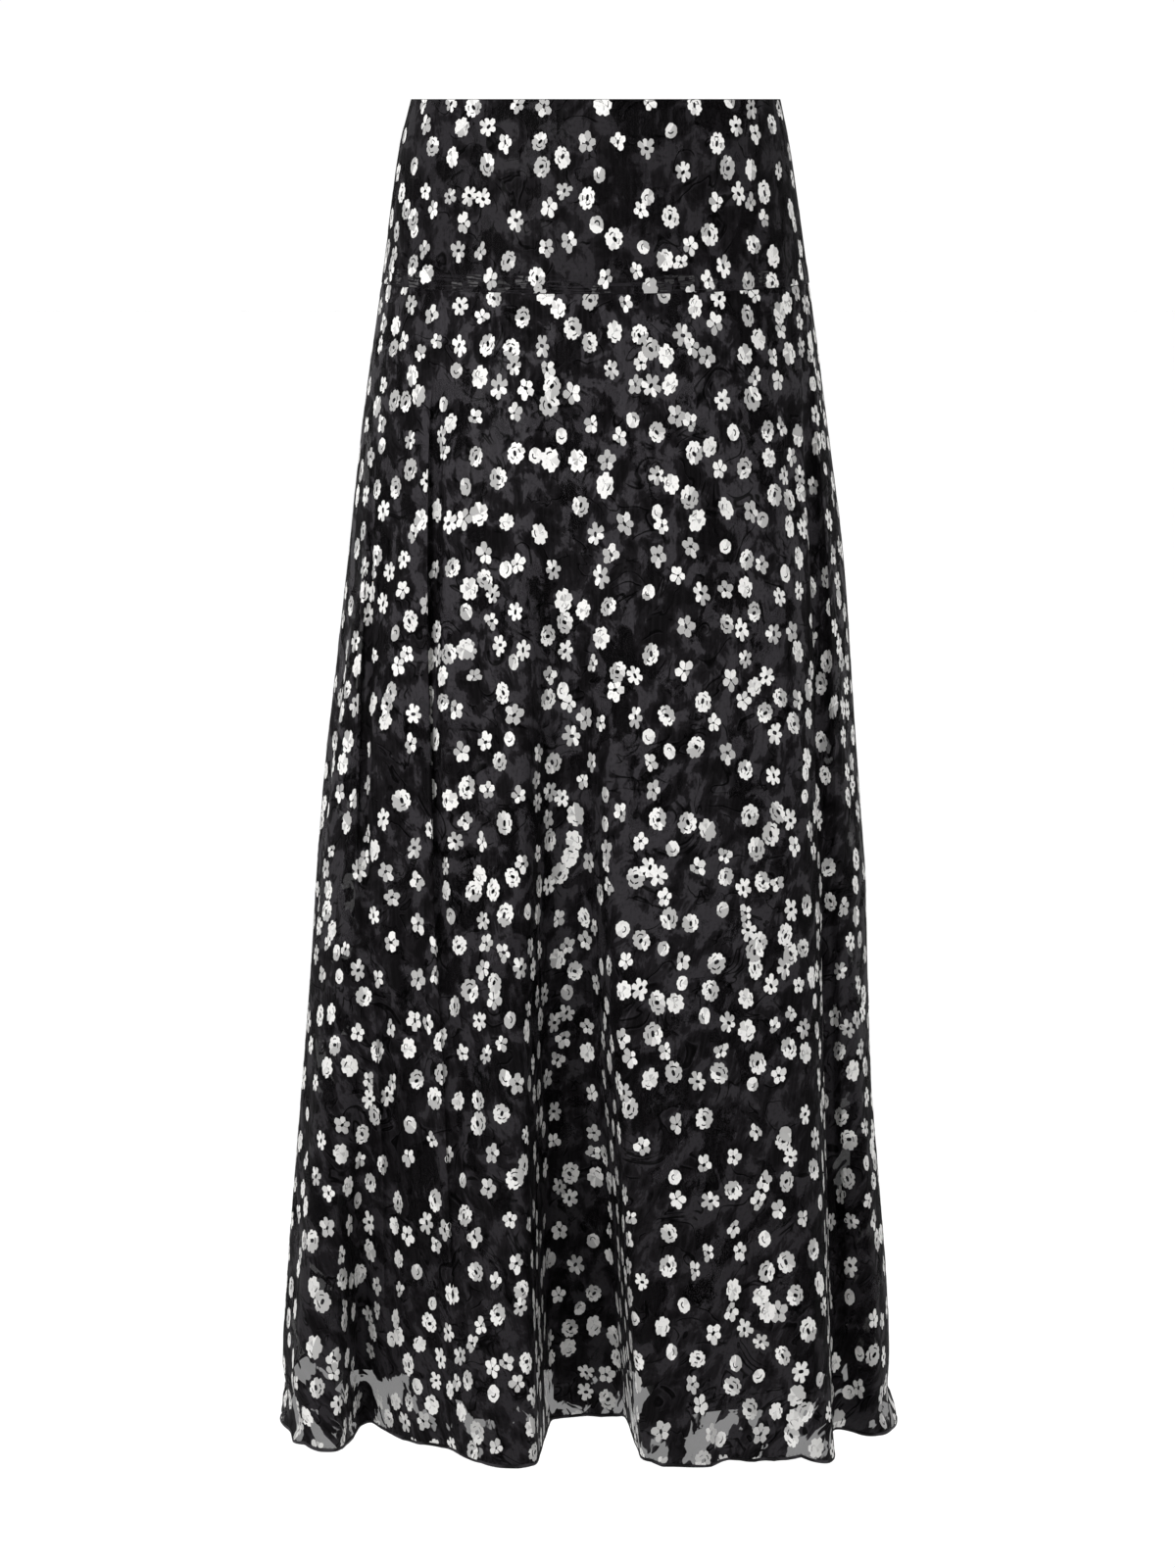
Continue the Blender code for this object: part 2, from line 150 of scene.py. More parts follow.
# Soft creases that the frame leaves out. Each runs down from its top to its bottom while its angle drifts,
# and a depth above zero is a trough.
Crease = namedtuple("Crease", "top bottom angle_top angle_bottom depth width")
CREASES = (
    Crease(-0.16, -0.86, 14.0, 11.0, 0.0014, 0.018),
    Crease(-0.24, -0.70, 26.0, 30.0, -0.0012, 0.014),
    Crease(-0.19, -0.55, 38.0, 36.0, 0.0016, 0.016),
    Crease(-0.40, -0.90, 19.0, 20.0, -0.0018, 0.016),
    Crease(-0.15, -0.48, 3.0, 8.0, 0.0013, 0.013),
    Crease(-0.14, -0.62, -20.0, -14.5, -0.0014, 0.010),
    Crease(-0.16, -0.58, -27.0, -24.0, 0.0018, 0.010),
    Crease(-0.15, -0.50, -36.0, -36.0, -0.0016, 0.010),
    Crease(-0.20, -0.80, -33.0, -27.0, 0.0022, 0.011),
    Crease(-0.30, -0.88, -38.0, -35.0, -0.0018, 0.010),
    Crease(-0.17, -0.66, -56.0, -60.0, 0.0020, 0.013),
    Crease(-0.24, -0.90, -66.0, -67.0, -0.0020, 0.014),
    Crease(-0.36, -0.91, -86.0, -88.0, 0.0024, 0.014),
    Crease(-0.15, -0.44, 52.0, 55.0, -0.0012, 0.012),
    Crease(-0.22, -0.72, 69.0, 71.0, 0.0018, 0.014),
    Crease(-0.46, -0.91, 72.0, 73.0, -0.0026, 0.015),
    Crease(-0.16, -0.60, 104.0, 106.0, 0.0018, 0.015),
    Crease(-0.28, -0.88, 113.0, 111.0, -0.0022, 0.014),
    Crease(-0.15, -0.52, 138.0, 141.0, 0.0016, 0.014),
    Crease(-0.34, -0.90, 134.0, 138.0, -0.0024, 0.015),
    Crease(-0.18, -0.66, 168.0, 166.0, 0.0018, 0.014),
    Crease(-0.30, -0.86, 184.0, 186.0, -0.0018, 0.013),
    Crease(-0.15, -0.58, 206.0, 209.0, 0.0018, 0.014),
    Crease(-0.36, -0.90, 211.0, 209.0, -0.0020, 0.015),
    Crease(-0.17, -0.64, 226.0, 227.0, 0.0020, 0.014),
    Crease(-0.28, -0.88, 243.0, 246.0, -0.0022, 0.014),
)

# Narrow deep folds that the frame leaves out. Each runs from its top to its bottom while its angle drifts,
# in a path that bows by so many degrees at half way. It has a floor of a width between two sides, each of one
# run, and is pushed in along its aim, as the frame's folds are.
Pleat = namedtuple("Pleat", "top bottom angle_top angle_bottom bow depth width run aim")
PLEATS = (
    Pleat(-0.13, -0.64, -50.5, -30.4, 1.2, 0.0118, 0.0085, 0.0046, 18),
    Pleat(-0.45, -0.905, -36.6, -26.0, 2.6, 0.0065, 0.0090, 0.0056, 14),
    Pleat(-0.22, -0.62, -70.0, -47.0, 1.5, 0.0060, 0.0070, 0.0044, 0),
    Pleat(-0.52, -0.905, -49.0, -41.2, 4.0, 0.0075, 0.0100, 0.0070, 10),
    Pleat(-0.14, -0.56, 73.5, 54.5, -3.0, 0.0095, 0.0150, 0.0046, 4),
    Pleat(-0.44, -0.90, 58.5, 51.5, -1.5, 0.0080, 0.0120, 0.0050, 4),
    Pleat(-0.14, -0.60, 116.0, 123.0, 1.0, 0.0100, 0.0090, 0.0050, 172),
    Pleat(-0.36, -0.90, 143.0, 146.0, 2.0, 0.0070, 0.0090, 0.0052, 196),
    Pleat(-0.16, -0.52, 190.0, 183.0, -1.0, 0.0060, 0.0080, 0.0046, 160),
    Pleat(-0.42, -0.90, 217.0, 222.0, 1.5, 0.0075, 0.0095, 0.0054, 176),
    Pleat(-0.15, -0.64, 234.0, 240.0, 2.0, 0.0100, 0.0085, 0.0048, 184),
)
# Pleats, creases and puckers fade at each end, over one part in so many of their length or half length
PLEAT_ENDS = 3.0
CREASE_ENDS = 4.0
PUCKER_ENDS = 1.5

# Short level creases across the yoke, each at an angle and a height, with its half length in degrees
Pucker = namedtuple("Pucker", "height angle reach depth width slope")
PUCKERS = (
    Pucker(-0.030, -52.0, 26.0, 0.0006, 0.0050, 0.010),
    Pucker(-0.052, 40.0, 30.0, 0.0007, 0.0060, -0.012),
    Pucker(-0.078, -18.0, 34.0, 0.0006, 0.0070, 0.008),
    Pucker(-0.098, 56.0, 24.0, -0.0006, 0.0060, 0.010),
    Pucker(-0.104, -66.0, 28.0, 0.0007, 0.0065, -0.012),
    Pucker(-0.040, 140.0, 30.0, 0.0006, 0.0060, 0.012),
    Pucker(-0.074, 196.0, 36.0, -0.0007, 0.0070, -0.010),
    Pucker(-0.096, 152.0, 26.0, 0.0006, 0.0060, 0.008),
    Pucker(-0.058, 236.0, 26.0, 0.0007, 0.0060, 0.010),
)

# A kind of flower: petals round it, how deep the notches between them are and how round the petals' tips, the
# radius of its dark eye as a share of its own, how far out the slits between petals run, how much of a dark
# ring is drawn round the eye, its radius in metres, how often it comes, and the columns of its mesh a petal
Bloom = namedtuple("Bloom", "name petals notch round eye slit arc radius often columns")
BLOOMS = (
    Bloom("daisy", 6, 0.50, 3.0, 0.22, 0.0, 0.0, 0.0067, 0.19, 4),
    Bloom("five petals", 5, 0.44, 2.6, 0.20, 0.5, 0.0, 0.0066, 0.19, 5),
    Bloom("split petals", 5, 0.42, 2.6, 0.14, 1.0, 0.0, 0.0064, 0.13, 5),
    Bloom("rosette", 8, 0.20, 2.4, 0.22, 0.0, 0.36, 0.0073, 0.25, 3),
    Bloom("bud", 6, 0.10, 2.0, 0.03, 0.0, 0.42, 0.0053, 0.10, 3),
    Bloom("pansy", 6, 0.24, 2.6, 0.03, 0.0, 0.14, 0.0072, 0.14, 3),
)
BLOOM_VARIANTS = 9
PAIR_CLOSENESS = 0.82
PAIR_CLEARANCE = 0.0115
PAIR_LIFT = 0.00014
DRAWS_PER_BLOOM = 12
PETAL_GAP = 0.05
# Where the columns of a petal without slits lie, from its middle at 0 to the notch at 0.5
PETAL_PLACES = {3: (-0.25, 0.22, 0.5), 4: (-0.28, 0.0, 0.28, 0.5)}
PETAL_UNEVEN = 0.15
PETAL_DRIFT = 0.10
SCALLOP_UNEVEN = 0.35
EDGE_UNEVEN = 0.045
EYE_RING = 0.55
EYE_UNEVEN = 0.25
ROSETTE_RING = (0.50, 0.60)
BUD_RING = (0.30, 0.46)
BUD_ARC = 0.40
ARC_SECTORS = 3
RING_WANDER = 0.05
EYE_SHIFT = 0.10
SPECKLED_SHARE = 0.15
LOST_PETAL_SHARE = 0.3
# How far round a flower its grey part reaches either way, in radians, and how often
DARK_REACHES = (0.0, 0.9, 1.5, 2.1, 3.2)
DARK_ODDS = (0.30, 0.22, 0.24, 0.12, 0.12)
MIDDLE_TONE = 0.55
SIZE_VARIES = 0.10
SQUASH_LEAST = 0.80
# The loom draws every flower out along the cloth
BLOOM_STRETCH = (0.88, 1.13)
# How much of the grey thread colour a flower may take at random
YARN_GREY_VARIES = 0.38
# Painted shade: the yarn is drawn a little greyer towards the hem, from one depth below the waist on
PAINTED_HEM_SHADE = 0.25
PAINTED_SHADE_FROM = 0.35
PAINTED_SHADE_OVER = 0.50

# The cloth's own relief and edges. A crease's width in metres counts as so many degrees to a metre, and grows
# downwards by a share of itself.
DEGREES_PER_METRE = 290.0
CREASE_WIDENS = 0.7
# A fine hill and a broad one take so many columns and rows, the fine ones a share as high
HILL_REACHES = (16, 34)
HILL_FINE_SHARE = 0.6
HILL_YOKE_SHARE = 0.35
HILL_STARTS_OVER = 0.03
SEAM_GROOVE = 0.0006
SEAM_GROOVE_WIDTH = 0.0022
SEAM_TUCK = 0.0006
SEAM_TUCK_LENGTH = 0.0035
ALLOWANCE_LENGTH = 0.0115
ALLOWANCE_RADIUS = 0.00045
ALLOWANCE_RISE = 0.0003
GHOST_LIFT = 0.00008
GHOST_CLOSENESS = 1.15
EDGE_RADIUS = 0.0004
FACING_LENGTH = 0.006
TURN_STEPS = 5
TURN_BACK = 4
NOTCH_DEPTH = 0.0040
NOTCH_HALF_WIDTH = 0.0034
NOTCH_REACH = 0.024
HEM_WAVES = ((0.0014, 5.0, 0.4), (0.0010, 11.0, 1.9), (0.0006, 23.0, 0.7))
# How far the hem at the front rises above its even height, as pairs of an angle and metres
HEM_RISES = (
    (-130.0, 0.0), (-104.0, -0.0070), (-92.0, -0.0140), (-83.0, -0.0115), (-74.0, -0.0020),
    (-57.5, -0.0004), (-53.5, 0.0042), (-50.5, 0.0015), (-47.5, 0.0010),
    (-46.5, -0.0044), (-44.0, -0.0012), (-41.0, -0.0010), (-38.0, -0.0020), (-34.0, 0.0010), (-30.5, 0.0011),
    (-28.0, 0.0031), (-25.0, 0.0044), (-21.6, 0.0055), (-18.0, 0.0034), (-14.0, 0.0022), (-11.0, 0.0028),
    (-7.0, -0.0014), (0.0, -0.0018), (3.0, -0.0028), (7.0, -0.0010), (10.5, 0.0050), (13.0, 0.0045),
    (15.5, 0.0005), (20.0, -0.0005), (25.0, -0.0010), (28.0, 0.0008), (30.0, 0.0016), (33.0, -0.0005),
    (36.0, 0.0002), (37.5, 0.0030), (39.2, 0.0080), (41.0, 0.0060), (43.0, 0.0042), (45.0, 0.0024),
    (50.5, 0.0006), (56.0, -0.0021), (60.0, -0.0018), (64.0, -0.0030), (76.0, -0.0080),
    (90.0, -0.0115), (120.0, 0.0),
)
HEM_WAVE_REACH = 0.10
HEM_SIDES = 8
HEM_UNEVEN = 0.18
# The columns that one hill takes and the hills from top to bottom, in the rolled hem and in the lining
HEM_HILLS = (6, 2)
LINING_HILLS = (7, 3)
LINING_TOP = 0.001
LINING_LIES = 0.0002
LINING_RIPPLE = 0.0005
LINING_LEAN = 0.0013
LINING_LEAN_LENGTH = 0.009
LINING_HEM = 0.012
LINING_HEM_RADIUS = 0.0003
ZIP_DROP = 0.205
ZIP_CLOSE_LENGTH = 0.045
ZIP_MARGIN = 0.009
COIL_TOP = 0.017
COIL_DEPTH = 0.0043
COIL_HALF_WIDTH = 0.0016
COIL_RADIUS = 0.00036
# How far to either side of the seam the coil's direction is read off the ring
COIL_SIGHT = 0.001
HEM_HALF_HEIGHT = 0.0012
HEM_HALF_DEPTH = 0.0007
STITCH_HALF_LENGTH = 0.0008
STITCH_RADIUS = 0.00017
# How far above the edge the stitches run, as shares of the rolled hem's half height and the lining's hem
STITCH_ON_HEM = 1.4
STITCH_ON_LINING = 0.85
# The three sections of a short bar: where each lies, from -1 to 1, and its share of the radius
BAR_SECTIONS = ((-1.0, 0.4), (0.0, 1.0), (1.0, 0.4))
BAR_SIDES = 4
# What is added to a panel's seed for the flowers under its seam and for its hem
GHOST_SEED = 100
HEM_SEED = 200

# The camera stands level with the waist and looks down by so many degrees. Each light has a place, an aim, a
# diameter in metres and a power in watts.
CAMERA_PLACE = (-0.0057, -3.0, 0.0)
CAMERA_DOWN = 9.052
CAMERA_LENS = 98.72
CAMERA_SENSOR = 36.0
FLOOR_HEIGHT = -1.6
FLOOR_HALF_WIDTH = 30.0
FLOOR_TONES = (0.965, 0.975)
FLOOR_GRAIN = 9.0
LIGHTS = (
    ("key light", (-1.1, -1.8, 0.85), (0.0, 0.0, -0.28), 0.8, 37.0),
    ("fill light", (1.7, -2.3, 0.3), (0.0, 0.0, -0.40), 1.2, 9.0),
)
# The share of a direction that points away from the camera at which the room starts to brighten and is
# bright, and its brightness before and after
ROOM_FADE = (-0.3, 0.5, 0.21, 1.0)
SUN_STRENGTH = 1.62
SUN_TILT = 22.0
SUN_WIDTH = 20.0

# The noises that the looks are drawn with, on the flat cloth in metres: its stretch across and up, then the
# noise's own scale, detail, roughness and bend. A pattern made of one is absent below the low value and whole
# above the high one.
Grain = namedtuple("Grain", "across up scale detail rough bend low high", defaults=(None, None))
GRAINS = {
    "patches": Grain(1.0, 0.72, 30.0, 2.0, 0.50, 0.6),
    "patch edges": Grain(1.0, 0.72, 95.0, 2.0, 0.60, 0.8),
    "clouds": Grain(1.0, 0.72, 70.0, 4.0, 0.60, 0.3),
    "zones": Grain(1.0, 0.72, 13.0, 1.0, 0.50, 0.0),
    "ragged edges": Grain(480.0, 70.0, 1.0, 2.0, 0.50, 0.0),
    "streaks": Grain(420.0, 14.0, 1.0, 2.0, 0.50, 0.0, 0.42, 0.72),
    "weave": Grain(2200.0, 900.0, 1.0, 1.0, 0.50, 0.0),
    "mottle": Grain(1.0, 1.0, 460.0, 2.0, 0.60, 0.0, 0.52, 0.70),
    "wrinkles": Grain(1.0, 1.0, 31.0, 2.0, 0.55, 1.1),
    "wrinkled places": Grain(1.0, 1.0, 44.0, 1.0, 0.50, 0.0, 0.44, 0.54),
    "level threads": Grain(24.0, 1100.0, 1.0, 2.0, 0.50, 0.0, 0.50, 0.62),
    "small puckers": Grain(1.0, 1.0, 60.0, 2.0, 0.50, 0.6),
    "yarn blotches": Grain(1.0, 1.0, 420.0, 2.0, 0.60, 0.0, 0.56, 0.74),
    "yarn threads": Grain(2600.0, 500.0, 1.0, 1.0, 0.50, 0.0, 0.25, 0.80),
    "veil": Grain(90.0, 900.0, 1.0, 2.0, 0.50, 0.0, 0.40, 0.62),
    "lining lines": Grain(300.0, 9.0, 1.0, 2.0, 0.50, 0.0, 0.30, 0.70),
    "lining weave": Grain(3000.0, 3000.0, 1.0, 1.0, 0.50, 0.0),
}
# The cloth is dense where the patches, with a share of their edges, pass these levels, and sheer elsewhere
PATCH_EDGE_SHARE = 0.30
DENSE_LEVELS = (0.565, 0.585)
# Dense cloth turns from sheer black to matt and then to satin between these levels of three noises together
CLOUD_SHARE = 0.72
ZONE_SHARE = 0.20
RAGGED_SHARE = 0.08
MATT_LEVELS = (0.41, 0.48)
SATIN_LEVELS = (0.495, 0.565)
# Satin, with its painted sheen, is weaker by these shares low on the skirt and on the yokes, so darker there
SATIN_LOWER = 0.55
SATIN_YOKE = 0.50
# Heights on the flat cloth, where the yokes lie above 0 and the skirt panels run down from -0.5. Between each
# pair the lower part turns to the upper one, the yokes start, and the pressed seam's threads start and end.
LOWER_HEIGHTS = (-1.22, -0.66)
YOKE_HEIGHTS = (-0.012, -0.002)
PRESSED_FROM = (-0.02, -0.01)
PRESSED_TO = (0.007, 0.014)
# A wrinkle's painted shade lies this far from the middle of its noise, its painted highlight a little beyond
WRINKLE_WIDTH = (0.007, 0.024)
WRINKLE_HIGHLIGHT_SHIFT = 0.026
WRINKLE_HIGHLIGHT_WIDTH = (0.0, 0.022)
# How strongly each part of the outer cloth's pattern and painted light shows, and its relief's depth in
# metres
SHOWS = {"streaks": 0.14, "on satin": 0.4, "beside": 0.28, "mottle": 0.35, "wrinkles": 0.92, "threads": 0.8}
RELIEF = {"wrinkles": 0.0010, "puckers": 0.0016, "streaks": 0.00012, "threads": 0.0003, "weave": 0.00006}

# Maps and their margin
CLOTH_MAP = "Cloth"
BAKE_MAP = "OFBake"
MAP_MARGIN = 0.002

FRONT = (LEFT_SEAM, RIGHT_SEAM)
BACK = (RIGHT_SEAM, LEFT_SEAM + 360.0)
# A panel of cloth: the angles and the drops below the waist that it runs between, where no drop is the dipped
# yoke seam, its rows and columns, where its middle's top lies on the flat cloth, across and up, with that
# middle's angle, and the seed of its small hills. A yoke lies on the flat cloth with its seam at height 0.
Panel = namedtuple("Panel", "span from_drop to_drop rows columns flat seed")
HEM_MIDDLE = LENGTH - HEM_HALF_HEIGHT
PANELS = {
    "yoke_front": Panel(FRONT, EDGE_RADIUS, None, 46, 400, (0.0, None, 0.0), 11),
    "yoke_back": Panel(BACK, EDGE_RADIUS, None, 46, 400, (3.0, None, 180.0), 12),
    "skirt_front": Panel(FRONT, None, HEM_MIDDLE, 140, 600, (0.0, -0.5, 0.0), 13),
    "skirt_back": Panel(BACK, None, HEM_MIDDLE, 140, 600, (3.0, -0.5, 180.0), 14),
    "lining_front": Panel(FRONT, LINING_TOP, LINING_DROP, 110, 240, (0.0, -2.0, 0.0), 15),
    "lining_back": Panel(BACK, LINING_TOP, LINING_DROP, 110, 240, (3.0, -2.0, 180.0), 16),
}


# ---------------------------------------------------------------------------------------------------------
# The form of the cloth
# ---------------------------------------------------------------------------------------------------------


def smooth_step(share):
    """From 0 to 1 with level ends: 3 s squared minus 2 s cubed."""
    share = np.clip(share, 0.0, 1.0)
    return share * share * (3.0 - 2.0 * share)


def wrapped(way, whole):
    """A way round a closed line, taken in the direction in which it is at most half the whole."""
    return (way + 0.5 * whole) % whole - 0.5 * whole


def trough(depth, past, half_width, before, after):
    """A depth over a width, with a smooth side before it and one after it, at ways past its middle."""
    entering = smooth_step((past + half_width) / before + 0.5)
    return depth * entering * smooth_step((half_width - past) / after + 0.5)


def points_at(at, place, points):
    """The points at some distances along a line, blended between its own points."""
    return np.stack([np.interp(at, place, points[:, axis]) for axis in (0, 1)], axis=1)


def section_at(height):
    """The smooth form at a height: a cubic through the sections, each slope the mean of its neighbours'."""
    heights = np.array([row.height for row in SECTIONS])[::-1]
    table = np.array([row[1:] for row in SECTIONS])[::-1]
    slopes = np.gradient(table, heights, axis=0)
    low = int(np.clip(np.searchsorted(heights, height) - 1, 0, len(heights) - 2))
    span = heights[low + 1] - heights[low]
    t = (height - heights[low]) / span
    start, end = table[low], table[low + 1]
    start_slope, end_slope = slopes[low] * span, slopes[low + 1] * span
    return (
        start * (1 + 2 * t) * (1 - t) ** 2
        + start_slope * t * (1 - t) ** 2
        + end * t * t * (3 - 2 * t)
        + end_slope * t * t * (t - 1)
    )


def base_ring(height, lining):
    """The ring without folds: a squared ellipse, as angles in degrees and points."""
    half_width, front_depth, back_depth, squareness, shift = section_at(height)
    angles = np.linspace(-180.0, 180.0, RING_SAMPLES + 1)
    sine, cosine = np.sin(np.radians(angles)), np.cos(np.radians(angles))
    half_width = half_width - lining * LINING_SIDE_INSET
    depth = np.where(cosine >= 0.0, front_depth, back_depth) - lining * LINING_INSET
    reach = np.abs(sine / half_width) ** squareness + np.abs(cosine / depth) ** squareness
    radius = reach ** (-1.0 / squareness)
    return angles, np.stack([shift + radius * sine, -radius * cosine], axis=1)


def distance_along(points):
    """The distance from the first point to each point, along the straight steps between them."""
    steps = np.sqrt((np.diff(points, axis=0) ** 2).sum(axis=-1))
    return np.concatenate([np.zeros_like(steps[:1]), np.cumsum(steps, axis=0)])


def fold_place(fold, grown, height, angles, points, place, lining):
    """How far along a ring the middle of a fold lies. The lining's lies straight behind the cloth's."""
    angle = (fold.angle_top + (fold.angle_hem - fold.angle_top) * grown) % 360.0
    if lining == 0.0:
        return np.interp(angle, angles % 360.0, place, period=360.0)
    _, cloth = base_ring(height, 0.0)
    middle = [np.interp(angle, angles % 360.0, cloth[:, axis], period=360.0) for axis in (0, 1)]
    aim = math.radians(fold.aim)
    off_line = np.abs((points - middle) @ np.array([math.cos(aim), math.sin(aim)]))
    off_line[np.hypot(*(points - middle).T) > LINING_REACH] = np.inf
    return place[np.argmin(off_line)]


def fold_push(fold, height, angles, points, place, lining):
    """How far a fold moves each point of a ring inwards: its depth there, between two smooth sides."""
    grown = float(np.clip((fold.start - height) / (fold.start + LENGTH), 0.0, 1.0))
    if grown == 0.0:
        return np.zeros_like(place)
    bow = 2.0 * fold.depth_hem - 4.0 * fold.depth_mid
    depth = grown * (4.0 * fold.depth_mid - fold.depth_hem + bow * grown)
    if depth < 0.0:
        depth *= 1.0 - lining * (1.0 - LINING_RIDGE_SHARE)
    wide = FOLD_TOP_WIDTH + (1.0 - FOLD_TOP_WIDTH) * grown
    half_width = 0.5 * fold.width * wide + lining * LINING_WIDER
    runs = [FOLD_TOP_RUN + (run - FOLD_TOP_RUN) * grown for run in (fold.run_before, fold.run_after)]
    before, after = [run * (1.0 + lining * (LINING_SOFTER - 1.0)) for run in runs]
    past = wrapped(place - fold_place(fold, grown, height, angles, points, place, lining), place[-1])
    return trough(depth, past, half_width, before, after)


def rounded(points, reach):
    """A closed ring with its corners softened: each point the mean of those round it, by a bell curve."""
    place = distance_along(points)
    even = np.linspace(0.0, place[-1], RING_SAMPLES + 1)[:-1]
    offset = np.minimum(even, place[-1] - even)
    weight = np.exp(-0.5 * (offset / reach) ** 2)
    spectrum = np.fft.rfft(weight / weight.sum())
    softened = []
    for axis in (0, 1):
        evenly = np.interp(even, place, points[:, axis])
        soft = np.fft.irfft(np.fft.rfft(evenly) * spectrum, RING_SAMPLES)
        softened.append(np.interp(place, np.append(even, place[-1]), np.append(soft, soft[0])))
    return np.stack(softened, axis=1)


def ring(height, lining=0.0):
    """The folded ring of the cloth at a height, or of the lining where that share is above zero."""
    angles, points = base_ring(height, lining)
    place = distance_along(points)
    folded = points.copy()
    for fold in FOLDS:
        aim = math.radians(fold.aim)
        inwards = np.array([-math.sin(aim), math.cos(aim)])
        folded += fold_push(fold, height, angles, points, place, lining)[:, None] * inwards
    return angles, rounded(folded, ROUNDING + lining * LINING_ROUNDING)


def pleated(angles, points, height):
    """A ring with the pleats pushed in: for each, its depth, faded at its ends, between two smooth sides.

    A pleat's middle goes evenly from its top angle to its bottom one, and bows by a parabola.
    """
    place = distance_along(points)
    moved = points.copy()
    for pleat in PLEATS:
        share = (height - pleat.top) / (pleat.bottom - pleat.top)
        if not 0.0 < share < 1.0:
            continue
        middle = pleat.angle_top + (pleat.angle_bottom - pleat.angle_top) * share
        middle += pleat.bow * 4.0 * share * (1.0 - share)
        middle_place = np.interp(middle % 360.0, angles % 360.0, place, period=360.0)
        past = wrapped(place - middle_place, place[-1])
        depth = pleat.depth * smooth_step(share * PLEAT_ENDS) * smooth_step((1.0 - share) * PLEAT_ENDS)
        push = trough(depth, past, 0.5 * pleat.width, pleat.run, pleat.run)
        aim = math.radians(pleat.aim)
        moved += push[:, None] * np.array([-math.sin(aim), math.cos(aim)])
    return angles, moved


def lining_share(height):
    """How far the lining has parted from the cloth at a height: not at all down to the yoke's lower part."""
    below = (-height - LINING_PARTS_FROM) / (LENGTH - LINING_PARTS_FROM)
    return float(smooth_step(below * LINING_PARTS_BY))


def even_row(angles, points, span, columns, margins=(0.0, 0.0)):
    """The stretch of a ring between two angles, less a margin at each, as evenly spaced points and angles."""
    turns = np.concatenate([angles[:-1], angles + 360.0])
    twice = np.concatenate([points[:-1], points])
    kept = np.concatenate([[span[0]], turns[(turns > span[0]) & (turns < span[1])], [span[1]]])
    whole = points_at(kept, turns, twice)
    place = distance_along(whole)
    at = np.linspace(margins[0], place[-1] - margins[1], columns)
    return points_at(at, place, whole), np.interp(at, place, kept)


def soft_noise(random, shape, cells):
    """Smooth random hills from -1 to 1 over a grid: random corners, blended by a cubic between them."""
    across, down = cells
    corners = random.uniform(-1.0, 1.0, (down + 2, across + 2))
    y = np.linspace(0.0, down, shape[0])[:, None]
    x = np.linspace(0.0, across, shape[1])[None, :]
    row, column = np.floor(y).astype(int), np.floor(x).astype(int)
    fy, fx = smooth_step(y - row), smooth_step(x - column)
    upper = corners[row, column] * (1.0 - fx) + corners[row, column + 1] * fx
    lower = corners[row + 1, column] * (1.0 - fx) + corners[row + 1, column + 1] * fx
    return upper * (1.0 - fy) + lower * fy


def crease_depth(angle, height):
    """How far creases and puckers push each point in: the sum of their depths, each times a bell curve.

    Each fades at its ends.
    """
    depth = np.zeros_like(angle)
    for crease in CREASES:
        share = (height - crease.top) / (crease.bottom - crease.top)
        middle = crease.angle_top + (crease.angle_bottom - crease.angle_top) * share
        off = wrapped(angle - middle, 360.0)
        width = crease.width * DEGREES_PER_METRE * (1.0 + CREASE_WIDENS * share)
        fade = smooth_step(share * CREASE_ENDS) * smooth_step((1.0 - share) * CREASE_ENDS)
        depth += crease.depth * fade * np.exp(-((off / width) ** 2))
    for pucker in PUCKERS:
        off = wrapped(angle - pucker.angle, 360.0)
        middle = pucker.height + pucker.slope * off / pucker.reach
        fade = smooth_step(PUCKER_ENDS * (1.0 - np.abs(off) / pucker.reach))
        depth += pucker.depth * fade * np.exp(-(((height - middle) / pucker.width) ** 2))
    return depth


def normals_of(points):
    """Outward unit normals of a grid of points whose rows run down and whose columns grow with the angle."""
    down, across = np.gradient(points, axis=0), np.gradient(points, axis=1)
    normals = np.cross(down, across)
    return normals / np.linalg.norm(normals, axis=-1, keepdims=True)


def seam_drop(points):
    """How far below the waist the yoke seam lies at points of its ring: a little lower front and back."""
    return YOKE_DROP + YOKE_DIP * (points[..., 1] / np.abs(points[..., 1]).max()) ** 2


class Cloth:
    """A stretch of cloth as a fine grid: points, outward normals, angles and its flat place in metres."""

    def __init__(self, points, angle, offset):
        self.points = points
        self.angle = angle
        self.normals = normals_of(points)
        self.across = across = distance_along(np.swapaxes(points, 0, 1)).T
        middle = np.take_along_axis(across, np.argmin(np.abs(angle - offset[2]), axis=1)[:, None], axis=1)
        self.width = across[:, -1]
        down = distance_along(points)
        top = down[-1] if offset[1] is None else offset[1]
        self.flat = np.stack([across - middle + offset[0], top - down], axis=-1)
        self.area = float((0.5 * (self.width[1:] + self.width[:-1]) * np.diff(down.mean(axis=1))).sum())
        self.along, self.down = np.gradient(points, axis=1), np.gradient(points, axis=0)

    def at(self, row, column, grid):
        """Values of a grid at fractional rows and columns, blended between the four round each."""
        row = np.clip(row, 0.0, self.points.shape[0] - 1.0)
        column = np.clip(column, 0.0, self.points.shape[1] - 1.0)
        r = np.minimum(row.astype(int), self.points.shape[0] - 2)
        c = np.minimum(column.astype(int), self.points.shape[1] - 2)
        fr, fc = (row - r)[..., None], (column - c)[..., None]
        upper = grid[r, c] * (1.0 - fc) + grid[r, c + 1] * fc
        lower = grid[r + 1, c] * (1.0 - fc) + grid[r + 1, c + 1] * fc
        return upper * (1.0 - fr) + lower * fr


